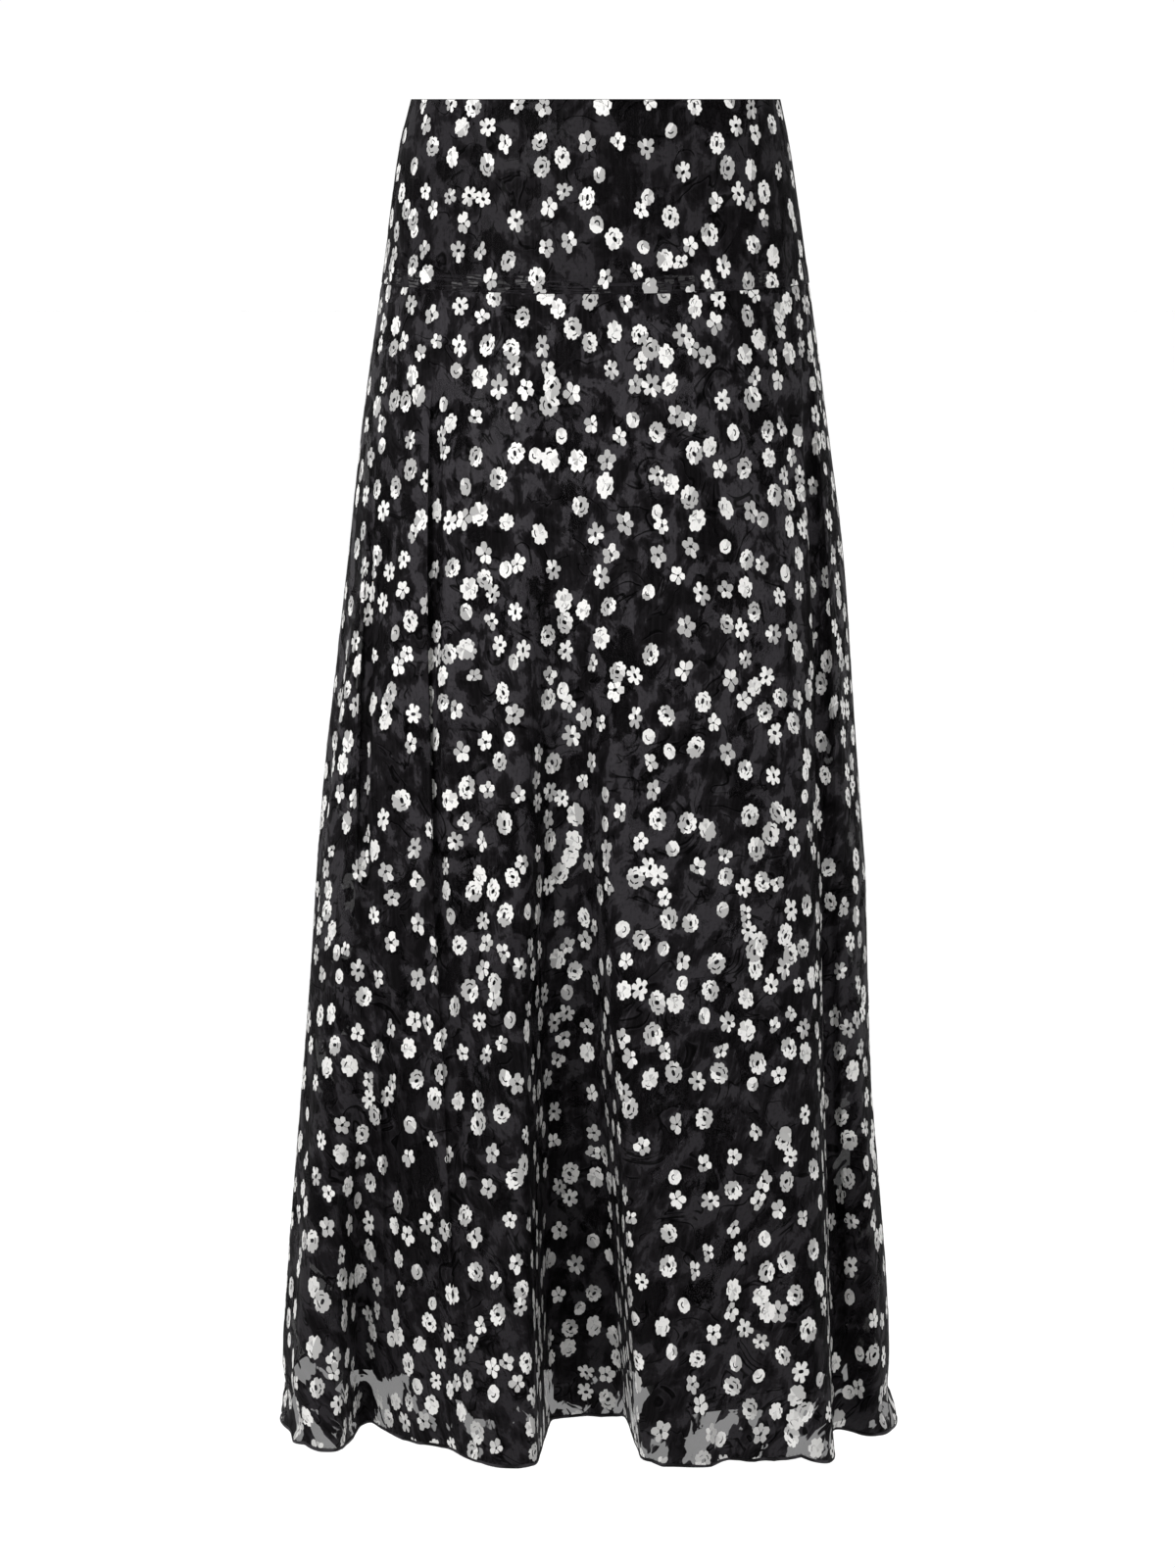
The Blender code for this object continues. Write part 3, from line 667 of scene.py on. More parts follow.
def spread_out(points):
    """Moves the outer sides of a grid of points outwards by the table of spreads, and the rest not at all."""
    drop = -points[..., 2]
    half_width = np.interp(drop, [-row.height for row in SECTIONS], [row.half_width for row in SECTIONS])
    table = np.array(SPREADS)
    left, right = [np.interp(drop, table[:, 0], table[:, column]) for column in (1, 2)]
    x = points[..., 0]
    share = smooth_step((np.abs(x) / half_width - SPREAD_FROM) / (SPREAD_WHOLE - SPREAD_FROM))
    x += np.where(x < 0.0, -left, right) * share


def hem_wave(angle):
    """How far the hem rises above its even height at each angle: three sines and the table's rises, added."""
    waves = sum(height * np.sin(count * np.radians(angle) + phase) for height, count, phase in HEM_WAVES)
    return waves + np.interp(wrapped(angle, 360.0), *np.array(HEM_RISES).T)


def outer_cloth(panel, sizes):
    """A panel of the outer cloth.

    Each row is a folded ring at its mean height, cut between the side seams and spaced evenly, and each
    point then takes its own height between the panel's edges, with the notch over the zip and the uneven
    hem. Creases, puckers, broad random hills, the grooves of the side seams and the steps at the yoke seam
    push it in.
    """
    flat_from = YOKE_DROP if panel.from_drop is None else panel.from_drop
    flat_to = YOKE_DROP if panel.to_drop is None else panel.to_drop
    points, angle = np.zeros((panel.rows, panel.columns, 3)), np.zeros((panel.rows, panel.columns))
    for row, share in enumerate(np.linspace(0.0, 1.0, panel.rows)):
        drop = flat_from + (flat_to - flat_from) * share
        found, angle[row] = even_row(*pleated(*ring(-drop), -drop), panel.span, panel.columns)
        points[row, :, :2] = found
        dip = seam_drop(found) - YOKE_DROP
        top_dip = dip if panel.from_drop is None else 0.0
        bottom_dip = dip if panel.to_drop is None else 0.0
        points[row, :, 2] = -(drop + top_dip * (1.0 - share) + bottom_dip * share)
    across = distance_along(np.swapaxes(points, 0, 1)).T
    from_side = np.minimum(across, across[:, -1:] - across)
    from_zip = across[:, -1:] - across if panel.span == FRONT else across
    drop = -points[..., 2]
    notch = NOTCH_DEPTH * (1.0 - smooth_step(from_zip / NOTCH_HALF_WIDTH))
    notch = notch * (1.0 - smooth_step(drop / NOTCH_REACH))
    near_hem = smooth_step((drop - LENGTH + HEM_WAVE_REACH) / HEM_WAVE_REACH)
    points[..., 2] += hem_wave(angle) * near_hem - notch
    spread_out(points)
    random = np.random.default_rng(panel.seed)
    cells = [(max(2, panel.columns // reach), max(2, panel.rows // reach)) for reach in HILL_REACHES]
    hills = HILL_FINE_SHARE * soft_noise(random, angle.shape, cells[0])
    hills = hills + soft_noise(random, angle.shape, cells[1])
    below_yoke = smooth_step((drop - YOKE_DROP) / YOKE_DROP)
    grown = (HILL_YOKE_SHARE + (1.0 - HILL_YOKE_SHARE) * below_yoke) * smooth_step(drop / HILL_STARTS_OVER)
    groove = SEAM_GROOVE * (1.0 - smooth_step(from_side / SEAM_GROOVE_WIDTH))
    groove = groove * smooth_step(drop / HILL_STARTS_OVER)
    depth = sizes.crease_strength * crease_depth(angle, points[..., 2]) + groove
    depth += sizes.hill_height * (hills + (1.0 + HILL_FINE_SHARE)) * grown
    from_seam = np.abs(drop - seam_drop(points))
    if panel.to_drop is None:
        past_allowance = (from_seam - ALLOWANCE_LENGTH) / SEAM_TUCK_LENGTH
        depth -= ALLOWANCE_RISE * (1.0 - smooth_step(past_allowance + 0.5))
    if panel.from_drop is None:
        depth += SEAM_TUCK * (1.0 - smooth_step(from_seam / SEAM_TUCK_LENGTH))
    return Cloth(points - normals_of(points) * depth[..., None], angle, panel.flat)


def lining_cloth(panel):
    """A panel of lining: rings inside the cloth's, moved in past its wall, with faint upright ripples.

    It leans out to the waist edge at its top and stands back from the zip at that side.
    """
    points, angle = np.zeros((panel.rows, panel.columns, 3)), np.zeros((panel.rows, panel.columns))
    for row, drop in enumerate(np.linspace(panel.from_drop, panel.to_drop, panel.rows)):
        beside_zip = ZIP_MARGIN * (1.0 - smooth_step((drop - ZIP_DROP) / ZIP_CLOSE_LENGTH))
        margins = (0.0, beside_zip) if panel.span == FRONT else (beside_zip, 0.0)
        found, angle[row] = even_row(*ring(-drop, lining_share(-drop)), panel.span, panel.columns, margins)
        points[row, :, :2] = found
        points[row, :, 2] = -drop
    random = np.random.default_rng(panel.seed)
    ripples = soft_noise(random, angle.shape, (panel.columns // LINING_HILLS[0], LINING_HILLS[1]))
    depth = CLOTH_WALL + LINING_GAP + LINING_LIES + LINING_RIPPLE * (ripples + 1.0)
    depth -= LINING_LEAN * (1.0 - smooth_step(-points[..., 2] / LINING_LEAN_LENGTH))
    return Cloth(points - normals_of(points) * depth[..., None], angle, panel.flat)


made_cloths = {}


def panel_cloth(name):
    """The cloth of a panel, worked out once for each set of sizes."""
    sizes = bpy.context.scene.skirt_sizes
    key = (name, sizes.crease_strength, sizes.hill_height)
    if key not in made_cloths:
        panel = PANELS[name]
        made_cloths[key] = lining_cloth(panel) if name.startswith("lining") else outer_cloth(panel, sizes)
    return made_cloths[key]


def turned(cloth, edge, radius, length):
    """Rows that go on past a cloth's first (0) or last (-1) row: half a turn inwards, then back inside it.

    The half turn moves the edge in by the radius times one minus the cosine, and on by the radius times the
    sine. Returns points and flat places, in the order in which they leave the cloth.
    """
    count, columns = cloth.points.shape[:2]
    first, second = (0, 1) if edge == 0 else (count - 1, count - 2)
    on = cloth.points[first] - cloth.points[second]
    on = on / np.linalg.norm(on, axis=-1, keepdims=True)
    rows = []
    for turn in np.linspace(0.0, math.pi, TURN_STEPS + 1)[1:]:
        inwards = cloth.normals[first] * radius * (1.0 - math.cos(turn))
        rows.append(cloth.points[first] - inwards + on * radius * math.sin(turn))
    ordered = cloth.points if edge == 0 else cloth.points[::-1]
    reach = distance_along(ordered).mean(axis=1)
    for past in np.linspace(0.0, length, TURN_BACK + 1)[1:]:
        row = np.interp(past, reach, np.arange(count))
        row = np.full(columns, row if edge == 0 else count - 1 - row)
        column = np.arange(columns)
        inwards = 2.0 * radius * cloth.at(row, column, cloth.normals)
        rows.append(cloth.at(row, column, cloth.points) - inwards)
    points = np.stack(rows)
    steps = distance_along(np.concatenate([cloth.points[first][None], points]))[1:]
    flat = np.repeat(cloth.flat[first][None], len(rows), axis=0)
    flat[..., 1] += steps if edge == 0 else -steps
    return points, flat


# ---------------------------------------------------------------------------------------------------------
# Meshes
# ---------------------------------------------------------------------------------------------------------


def placed(name, data):
    """An object that holds some data, put in the scene."""
    item = bpy.data.objects.new(name, data)
    bpy.context.scene.collection.objects.link(item)
    return item


def mesh_piece(name, points, faces, look, flat=None, bake=None, values=None):
    """A piece from arrays: points, four-cornered faces, flat places in metres and values for each face."""
    points, faces = np.asarray(points, np.float32).reshape(-1, 3), np.asarray(faces, np.int32).reshape(-1, 4)
    mesh = bpy.data.meshes.new(name)
    mesh.vertices.add(len(points))
    mesh.vertices.foreach_set("co", points.ravel())
    mesh.loops.add(faces.size)
    mesh.loops.foreach_set("vertex_index", faces.ravel())
    mesh.polygons.add(len(faces))
    mesh.polygons.foreach_set("loop_start", np.arange(0, faces.size, 4, dtype=np.int32))
    mesh.update(calc_edges=True)
    for title, places in ((CLOTH_MAP, flat), (BAKE_MAP, bake)):
        if places is not None:
            layer = mesh.uv_layers.new(name=title)
            corners = np.asarray(places, np.float32).reshape(-1, 2)[faces.ravel()]
            layer.uv.foreach_set("vector", corners.ravel())
    for title, numbers in (values or {}).items():
        attribute = mesh.attributes.new(title, "FLOAT", "FACE")
        attribute.data.foreach_set("value", np.asarray(numbers, np.float32).ravel())
    mesh.shade_smooth()
    mesh.materials.append(look)
    piece = placed(name, mesh)
    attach(piece, BODY)
    return piece


def grid_faces(rows, columns, closed=False):
    """The four-cornered faces of a grid whose rows run down and columns grow with the angle, facing out."""
    row = np.arange(rows - 1)[:, None] * columns
    column = np.arange(columns if closed else columns - 1)[None, :]
    after = (column + 1) % columns
    corners = [row + column, row + columns + column, row + columns + after, row + after]
    return np.stack(corners, axis=-1).reshape(-1, 4)


def unit_map(flat):
    """Flat places squeezed into the unit square, for the map that a finished look is drawn on."""
    low, high = flat.reshape(-1, 2).min(axis=0), flat.reshape(-1, 2).max(axis=0)
    return MAP_MARGIN + (1.0 - 2.0 * MAP_MARGIN) * (flat - low) / (high - low)


def carried(path, outwards, profile, size):
    """A closed profile carried along a path.

    Each row of points is the path's point plus the profile's first number outwards and its second upwards,
    both times a size that varies along the path.
    """
    upwards = np.array([0.0, 0.0, 1.0])
    spread = profile[None, :, :1] * outwards[:, None] + profile[None, :, 1:] * upwards
    return path[:, None] + size[:, None, None] * spread


def oval(half_depth, half_height, count):
    """Points round an oval, anticlockwise, as pairs outwards and upwards."""
    turn = np.linspace(0.0, 2.0 * math.pi, count, endpoint=False)
    return np.stack([half_depth * np.cos(turn), half_height * np.sin(turn)], axis=1)


def cloth_piece(name, look, top=None, bottom=None):
    """A panel's sheet with its turned edges, each given as a radius and a length."""
    cloth = panel_cloth(name)
    points, flat = [cloth.points], [cloth.flat]
    if top is not None:
        more, more_flat = turned(cloth, 0, *top)
        points.insert(0, more[::-1])
        flat.insert(0, more_flat[::-1])
    if bottom is not None:
        more, more_flat = turned(cloth, -1, *bottom)
        points.append(more)
        flat.append(more_flat)
    points, flat = np.concatenate(points), np.concatenate(flat)
    return mesh_piece(name + "_cloth", points, grid_faces(*points.shape[:2]), look, flat, unit_map(flat))


def bars_piece(name, middles, along, outwards, half_length, radius, look):
    """Short bars, each a tube through the table's sections, so thickest in the middle."""
    across = np.cross(along, outwards)
    sections = []
    for share, size in BAR_SECTIONS:
        middle = middles + along * share * half_length
        for turn in np.linspace(0.0, 2.0 * math.pi, BAR_SIDES, endpoint=False):
            sections.append(middle + size * radius * (math.cos(turn) * outwards + math.sin(turn) * across))
    points = np.stack(sections, axis=1)
    faces = grid_faces(len(BAR_SECTIONS), BAR_SIDES, closed=True)
    starts = len(sections) * np.arange(len(middles))
    return mesh_piece(name, points, faces[None] + starts[:, None, None], look)


def line_on(cloth, above, pitch):
    """Even places on a line some way above a cloth's lower edge: points, and unit ways along and outwards."""
    count, columns = cloth.points.shape[:2]
    reach = distance_along(cloth.points[::-1]).mean(axis=1)
    row = count - 1 - np.interp(above, reach, np.arange(count))
    whole = cloth.at(np.full(columns, row), np.arange(columns), cloth.points)
    place = distance_along(whole)
    at = np.arange(pitch * 0.5, place[-1], pitch)
    column = np.interp(at, place, np.arange(columns))
    rows = np.full(len(at), row)
    found = [cloth.at(rows, column, grid) for grid in (cloth.points, cloth.along, cloth.normals)]
    return [found[0]] + [grid / np.linalg.norm(grid, axis=1, keepdims=True) for grid in found[1:]]


# ---------------------------------------------------------------------------------------------------------
# Looks
# ---------------------------------------------------------------------------------------------------------


class Value:
    """A socket of a material's nodes, on which sums and products add Math nodes."""

    def __init__(self, look, socket):
        self.look, self.socket = look, socket

    def math(self, operation, *others):
        """The outcome of an operation on this value and others."""
        return self.look.node("Math", {"operation": operation}, self, *others)

    def __add__(self, other):
        return self.math("ADD", other)

    def __sub__(self, other):
        return self.math("SUBTRACT", other)

    def __rsub__(self, other):
        return self.look.node("Math", {"operation": "SUBTRACT"}, other, self)

    def __mul__(self, other):
        return self.math("MULTIPLY", other)

    __radd__ = __add__

    def step(self, low, high):
        """From 0 below low to 1 above high, with level ends."""
        return self.look.node("MapRange", {"interpolation_type": "SMOOTHSTEP"}, self, low, high, 0.0, 1.0)


class Look:
    """A material and its nodes."""

    def __init__(self, name, roughness=0.6, specular=0.2, sheen=0.0, metallic=0.0):
        self.material = bpy.data.materials.new(name)
        self.material.use_nodes = True
        self.tree = self.material.node_tree
        self.shader = self.tree.nodes["Principled BSDF"]
        self.set("Roughness", roughness)
        self.set("Specular IOR Level", specular)
        self.set("Sheen Weight", sheen)
        self.set("Metallic", metallic)

    def node(self, kind, settings, *inputs, output=0, **named):
        """Adds a node: its settings first, then the values or links of its sockets, in order or by name."""
        node = self.tree.nodes.new("ShaderNode" + kind)
        for title, setting in settings.items():
            setattr(node, title, setting)
        pairs = list(zip(node.inputs, inputs)) + [(node.inputs[key], item) for key, item in named.items()]
        for socket, item in pairs:
            self.join(socket, item)
        return Value(self, node.outputs[output])

    def join(self, socket, item):
        """Links a value to a socket, or gives the socket a constant."""
        if isinstance(item, Value):
            self.tree.links.new(item.socket, socket)
        else:
            socket.default_value = item

    def set(self, title, item):
        """Gives one of the shader's sockets a value or a constant."""
        self.join(self.shader.inputs[title], item)

    def flat(self, scale=(1.0, 1.0, 1.0)):
        """The piece's flat place in metres, stretched by a scale."""
        place = self.node("UVMap", {"uv_map": CLOTH_MAP})
        return self.node("Mapping", {}, place, Scale=scale)

    def noise(self, title):
        """Smooth random values from 0 to 1 on the flat cloth, by the table of grains."""
        grain = GRAINS[title]
        place = self.flat((grain.across, grain.up, 1.0))
        named = dict(zip(("Scale", "Detail", "Roughness", "Distortion"), grain[2:6]))
        return self.node("TexNoise", {"noise_dimensions": "2D"}, place, **named)

    def pattern(self, title, noise=None):
        """A noise of the table, stepped between its low and its high value."""
        return (noise or self.noise(title)).step(GRAINS[title].low, GRAINS[title].high)

    def axes(self):
        """The place on the piece's own axes."""
        return self.node("TexCoord", {}, output="Object")

    def speckle(self, scale, detail=2.0):
        """Smooth random values from 0 to 1 on the piece's own axes, so many to a metre."""
        return self.node("TexNoise", {}, self.axes(), Scale=scale, Detail=detail)

    def mix(self, share, first, second):
        """A colour between two. The node's sockets for colours have no names of their own, only numbers."""
        node = self.tree.nodes.new("ShaderNodeMix")
        node.data_type = "RGBA"
        self.join(node.inputs[0], share)
        for number, item in ((6, first), (7, second)):
            self.join(node.inputs[number], item if isinstance(item, Value) else (*item, 1.0))
        return Value(self, node.outputs[2])

    def bump(self, height, depth, after=None):
        """A normal from heights of 0 to 1 that stand for a depth in metres, on top of another bump."""
        named = {"Height": height, "Distance": depth}
        if after is not None:
            named["Normal"] = after
        return self.node("Bump", {}, **named)


def floral_look(colours):
    """Black cloth in three soft tones, matt, glossy and sheer, with winding dark wrinkles between them.

    The glossy tone is lighter as painted sheen. A wrinkle is where a slow noise crosses its middle, kept in
    some places only, and is drawn as a dark line of painted shade with a lighter line of painted highlight
    beside it. Fine level threads run along the yokes' pressed seam.
    """
    look = Look("floral cloth", specular=0.03)
    look.set("Coat Roughness", 0.42)
    up = look.node("SeparateXYZ", {}, look.flat(), output="Y")
    dense = (look.noise("patches") + look.noise("patch edges") * PATCH_EDGE_SHARE).step(*DENSE_LEVELS)
    level = look.noise("clouds") * CLOUD_SHARE + look.noise("zones") * ZONE_SHARE
    level = level + look.noise("ragged edges") * RAGGED_SHARE
    lower = 1.0 - up.step(*LOWER_HEIGHTS)
    on_yoke = up.step(*YOKE_HEIGHTS)
    satin = level.step(*SATIN_LEVELS) * (1.0 - lower * SATIN_LOWER - on_yoke * SATIN_YOKE)
    streaks, weave = look.pattern("streaks"), look.noise("weave")
    # Painted shade and highlight: each wrinkle is a dark line with a lighter line beside it
    off = look.noise("wrinkles") - 0.5
    kept = look.pattern("wrinkled places")
    wrinkles = (1.0 - off.math("ABSOLUTE").step(*WRINKLE_WIDTH)) * kept
    beside = (1.0 - (off - WRINKLE_HIGHLIGHT_SHIFT).math("ABSOLUTE").step(*WRINKLE_HIGHLIGHT_WIDTH)) * kept
    pressed = up.step(*PRESSED_FROM) * (1.0 - up.step(*PRESSED_TO))
    threads = pressed * look.pattern("level threads")
    colour = look.mix(level.step(*MATT_LEVELS) * dense, colours.sheer, colours.ground)
    # Painted sheen: the satin patches take a lighter colour that stands in for their gloss
    colour = look.mix(satin, colour, colours.satin)
    # Painted sheen: the weave's fine upright streaks are drawn lighter, most on the satin
    colour = look.mix(streaks * (satin * SHOWS["on satin"] + SHOWS["streaks"]), colour, colours.streak_sheen_and_thread)
    # Painted highlight: a lighter line beside each wrinkle, in the satin colour
    colour = look.mix(beside * SHOWS["beside"], colour, colours.satin)
    colour = look.mix(look.pattern("mottle") * SHOWS["mottle"], colour, colours.sheer)
    # Painted shade: the wrinkles darken to near black
    colour = look.mix(wrinkles * SHOWS["wrinkles"], colour, colours.crease)
    colour = look.mix(threads * SHOWS["threads"], colour, colours.streak_sheen_and_thread)
    look.set("Base Color", colour)
    look.set("Roughness", 0.75 - satin * 0.15 + weave * 0.1)
    look.set("Coat Weight", satin * 0.10 + streaks * 0.02)
    look.set("Alpha", colours.sheer_cover + dense * (1.0 - colours.sheer_cover))
    relief = look.bump(1.0 - wrinkles, RELIEF["wrinkles"])
    relief = look.bump(look.noise("small puckers"), RELIEF["puckers"], relief)
    relief = look.bump(streaks, RELIEF["streaks"], relief)
    relief = look.bump(threads, RELIEF["threads"], relief)
    look.set("Normal", look.bump(weave, RELIEF["weave"], relief))
    return look.material


def flower_look(colours):
    """Cream yarn floats: each face has its own tone, crossed by fine threads and a little uneven."""
    look = Look("cream flower yarn", roughness=0.5, specular=0.2, sheen=0.1)
    tone = look.node("Attribute", {"attribute_name": "tone"}, output="Fac")
    light = look.node("Attribute", {"attribute_name": "light"}, output="Fac")
    threads = look.noise("yarn threads")
    colour = look.mix(tone, colours.flower_grey, colours.flower_white)
    colour = look.mix(look.pattern("yarn blotches") * 0.35, colour, colours.flower_grey)
    colour = look.mix(look.pattern("yarn threads", threads) * 0.22, colour, colours.flower_thread)
    # The light value mixes in the thread's grey: at random for each flower, more towards the hem as painted
    # shade
    colour = look.mix(light, colour, colours.flower_thread)
    look.set("Base Color", colour)
    look.set("Normal", look.bump(threads, 0.00012))
    return look.material


def under_look(colours):
    """The flowers of the pressed allowance, as they show through the yoke: dim, with the yoke's streaks."""
    look = Look("yarn under cloth", roughness=0.8, specular=0.05)
    veil = look.noise("veil")
    tone = look.node("Attribute", {"attribute_name": "tone"}, output="Fac")
    veiled = look.mix(tone, colours.veiled_grey, colours.veiled_white)
    look.set("Base Color", look.mix(look.pattern("veil", veil), colours.ground, veiled))
    look.set("Normal", look.bump(veil, 0.0001))
    return look.material


def lining_look(colours):
    """Plain black silky lining with a fine weave and faint upright lines."""
    look = Look("black lining", specular=0.18)
    lines, weave = look.noise("lining lines"), look.noise("lining weave")
    shade = look.pattern("lining lines", lines)
    look.set("Base Color", look.mix(shade, colours.lining, colours.lining_light))
    look.set("Roughness", 0.46 + weave * 0.14)
    look.set("Normal", look.bump(weave, 0.00005, look.bump(lines, 0.0002)))
    return look.material


def hem_look(colours):
    """The rolled edges: the same black cloth, doubled and so opaque, with a slight unevenness."""
    look = Look("rolled cloth edge", specular=0.12)
    grain = look.speckle(900.0)
    # Patches in the satin colour, whose lightness is painted sheen
    look.set("Base Color", look.mix(look.speckle(60.0).step(0.42, 0.6), colours.sheer, colours.satin))
    look.set("Roughness", 0.55 + grain * 0.2)
    look.set("Normal", look.bump(grain, 0.0002))
    return look.material


def thread_look(name, colour):
    """Sewing thread: a twist drawn by fine noise."""
    look = Look(name, roughness=0.5, specular=0.3)
    twist = look.speckle(3000.0)
    look.set("Base Color", look.mix(twist, tuple(0.6 * part for part in colour), colour))
    look.set("Normal", look.bump(twist, 0.0001))
    return look.material


def tape_look(colours):
    """Zip tape: a matt twill, drawn by slanting ridges on the piece's own axes."""
    look = Look("black zip weave", roughness=0.8, specular=0.15)
    slanted = look.node("Mapping", {}, look.axes(), Rotation=(0.0, 0.0, 0.6))
    settings = {"wave_type": "BANDS", "bands_direction": "Z"}
    ridges = look.node("TexWave", settings, slanted, Scale=260.0, Distortion=1.5, Detail=1.0)
    look.set("Base Color", look.mix(ridges, colours.lining, colours.lining_light))
    look.set("Normal", look.bump(ridges, 0.0001))
    return look.material


def slider_look(colours):
    """Black lacquered metal, worn a little lighter in patches."""
    look = Look("black slider lacquer", roughness=0.3, specular=0.5, metallic=0.6)
    wear = look.speckle(700.0, detail=3.0)
    look.set("Base Color", look.mix(wear.step(0.55, 0.75), colours.lacquer, colours.lacquer_worn))
    look.set("Roughness", 0.28 + wear * 0.2)
    look.set("Normal", look.bump(wear, 0.00004))
    return look.material


# ---------------------------------------------------------------------------------------------------------
# Flowers
# ---------------------------------------------------------------------------------------------------------


def bloom_shape(bloom, random):
    """A flower's flat form as a grid of sectors round it and rings from its eye to its edge.

    The edge is one minus the notch times a power of the way from a petal's middle to its side, and the rings
    are shares of it. Petals differ in size and place. Returns points, faces and each face's tone, from grey
    at 0 to white at 1.
    """
    pitch = 2.0 * math.pi / bloom.petals
    slit_side = 0.5 - PETAL_GAP
    spread = np.linspace(-slit_side, slit_side, bloom.columns) if bloom.slit else PETAL_PLACES[bloom.columns]
    within = np.tile(spread, bloom.petals)
    petal = np.repeat(np.arange(bloom.petals), bloom.columns)
    sectors = len(petal)
    uneven = SCALLOP_UNEVEN if bloom.arc else 1.0
    drift = uneven * random.uniform(-PETAL_DRIFT, PETAL_DRIFT, bloom.petals)
    turn = (petal + drift[petal] + within) * pitch
    size = 1.0 + uneven * random.uniform(-PETAL_UNEVEN, PETAL_UNEVEN, bloom.petals)
    edge = size[petal] * (1.0 - bloom.notch * np.abs(2.0 * within) ** bloom.round)
    edge += random.uniform(-EDGE_UNEVEN, EDGE_UNEVEN, sectors)
    eye_shape = 1.0 + EYE_UNEVEN * np.cos(2.0 * (turn - random.uniform(0.0, math.pi)))
    wander = RING_WANDER * np.sin(2.0 * turn + random.uniform(0.0, 2.0 * math.pi))
    eye = bloom.eye * eye_shape
    if bloom.arc:
        span = BUD_RING if bloom.arc > BUD_ARC else ROSETTE_RING
        reaches = (eye, span[0] + wander, span[1] + wander, edge)
    else:
        reaches = (eye, np.full(sectors, EYE_RING), edge)
    eye_shift = random.uniform(-EYE_SHIFT, EYE_SHIFT, 2)
    rings = []
    for number, reach in enumerate(reaches):
        points = np.stack([reach * np.cos(turn), reach * np.sin(turn)], axis=1)
        rings.append(points + eye_shift * (1.0 - number / (len(reaches) - 1)))
    bands = len(reaches) - 1
    start = random.uniform(0.0, 2.0 * math.pi)
    dark_reach = random.choice(DARK_REACHES, p=DARK_ODDS)
    across = turn if bloom.arc else petal * pitch
    tone = np.ones((bands, sectors))
    tone[:, np.abs(wrapped(across - start, 2.0 * math.pi)) < dark_reach] = 0.0
    tone[:, petal == random.integers(bloom.petals)] = MIDDLE_TONE
    kept = np.ones((bands, sectors), bool)
    if bloom.arc > BUD_ARC:
        gap = random.uniform(0.0, 2.0 * math.pi)
        kept[1] = (turn - gap) % (2.0 * math.pi) / (2.0 * math.pi) > bloom.arc
    elif bloom.arc:
        for first in random.integers(sectors, size=int(round(bloom.arc * sectors / ARC_SECTORS))):
            kept[1, (first + np.arange(ARC_SECTORS)) % sectors] = False
        tone[0, random.random(sectors) < SPECKLED_SHARE] = 0.0
    if bloom.slit:
        last = np.arange(sectors) % bloom.columns == bloom.columns - 1
        kept[0, last] = False
        kept[1, last] = bloom.slit < 1.0
        if random.random() < LOST_PETAL_SHARE:
            kept[1, petal == random.integers(bloom.petals)] = False
    faces = grid_faces(bands + 1, sectors, closed=True)[:, ::-1]
    flat_kept = kept.ravel()
    return np.concatenate(rings), faces[flat_kept], tone.ravel()[flat_kept]


def scatter(cloth, random, spacing, per_square_metre):
    """Places for flowers on a cloth: rows, columns, kinds and 1 for the upper of a touching two, or else 0.

    Candidates are drawn evenly over the cloth's area and kept if none lies within the spacing. Some then get
    a second one beside them, where nothing else is near.
    """
    odds = [bloom.often for bloom in BLOOMS]
    chance = cloth.width / cloth.width.sum()
    wanted = int(cloth.area * per_square_metre)
    draws = wanted * DRAWS_PER_BLOOM
    rows = random.choice(len(chance), size=draws, p=chance) + random.random(draws)
    columns = random.random(len(rows)) * (cloth.points.shape[1] - 1)
    kinds = random.choice(len(BLOOMS), size=draws, p=odds)
    places = cloth.at(rows, columns, cloth.points)
    kept, second = [], []
    for number, place in enumerate(places):
        if len(kept) >= wanted:
            break
        if kept and ((places[kept] - place) ** 2).sum(axis=1).min() < spacing**2:
            continue
        kept.append(number)
    found = np.stack([rows[kept], columns[kept], kinds[kept], np.zeros(len(kept))], axis=1)
    taken = places[kept]
    paired = random.random(len(found)) < bpy.context.scene.skirt_sizes.pair_share
    for row, column, kind, _ in found[paired]:
        other = int(random.choice(len(BLOOMS), p=odds))
        apart = PAIR_CLOSENESS * (BLOOMS[int(kind)].radius + BLOOMS[other].radius)
        turn = random.uniform(0.0, 2.0 * math.pi)
        step = np.array([apart * math.cos(turn), apart * math.sin(turn)])
        rows_near, columns_near = stepped(cloth, np.array([row]), np.array([column]), step[None, None])
        place = cloth.at(rows_near[0], columns_near[0], cloth.points)[0]
        gaps = np.sort(np.sqrt(((taken - place) ** 2).sum(axis=1)))
        if gaps[1] > PAIR_CLEARANCE:
            taken = np.concatenate([taken, place[None]])
            second.append([rows_near[0, 0], columns_near[0, 0], other, 1.0])
    return np.concatenate([found, np.array(second).reshape(-1, 4)])


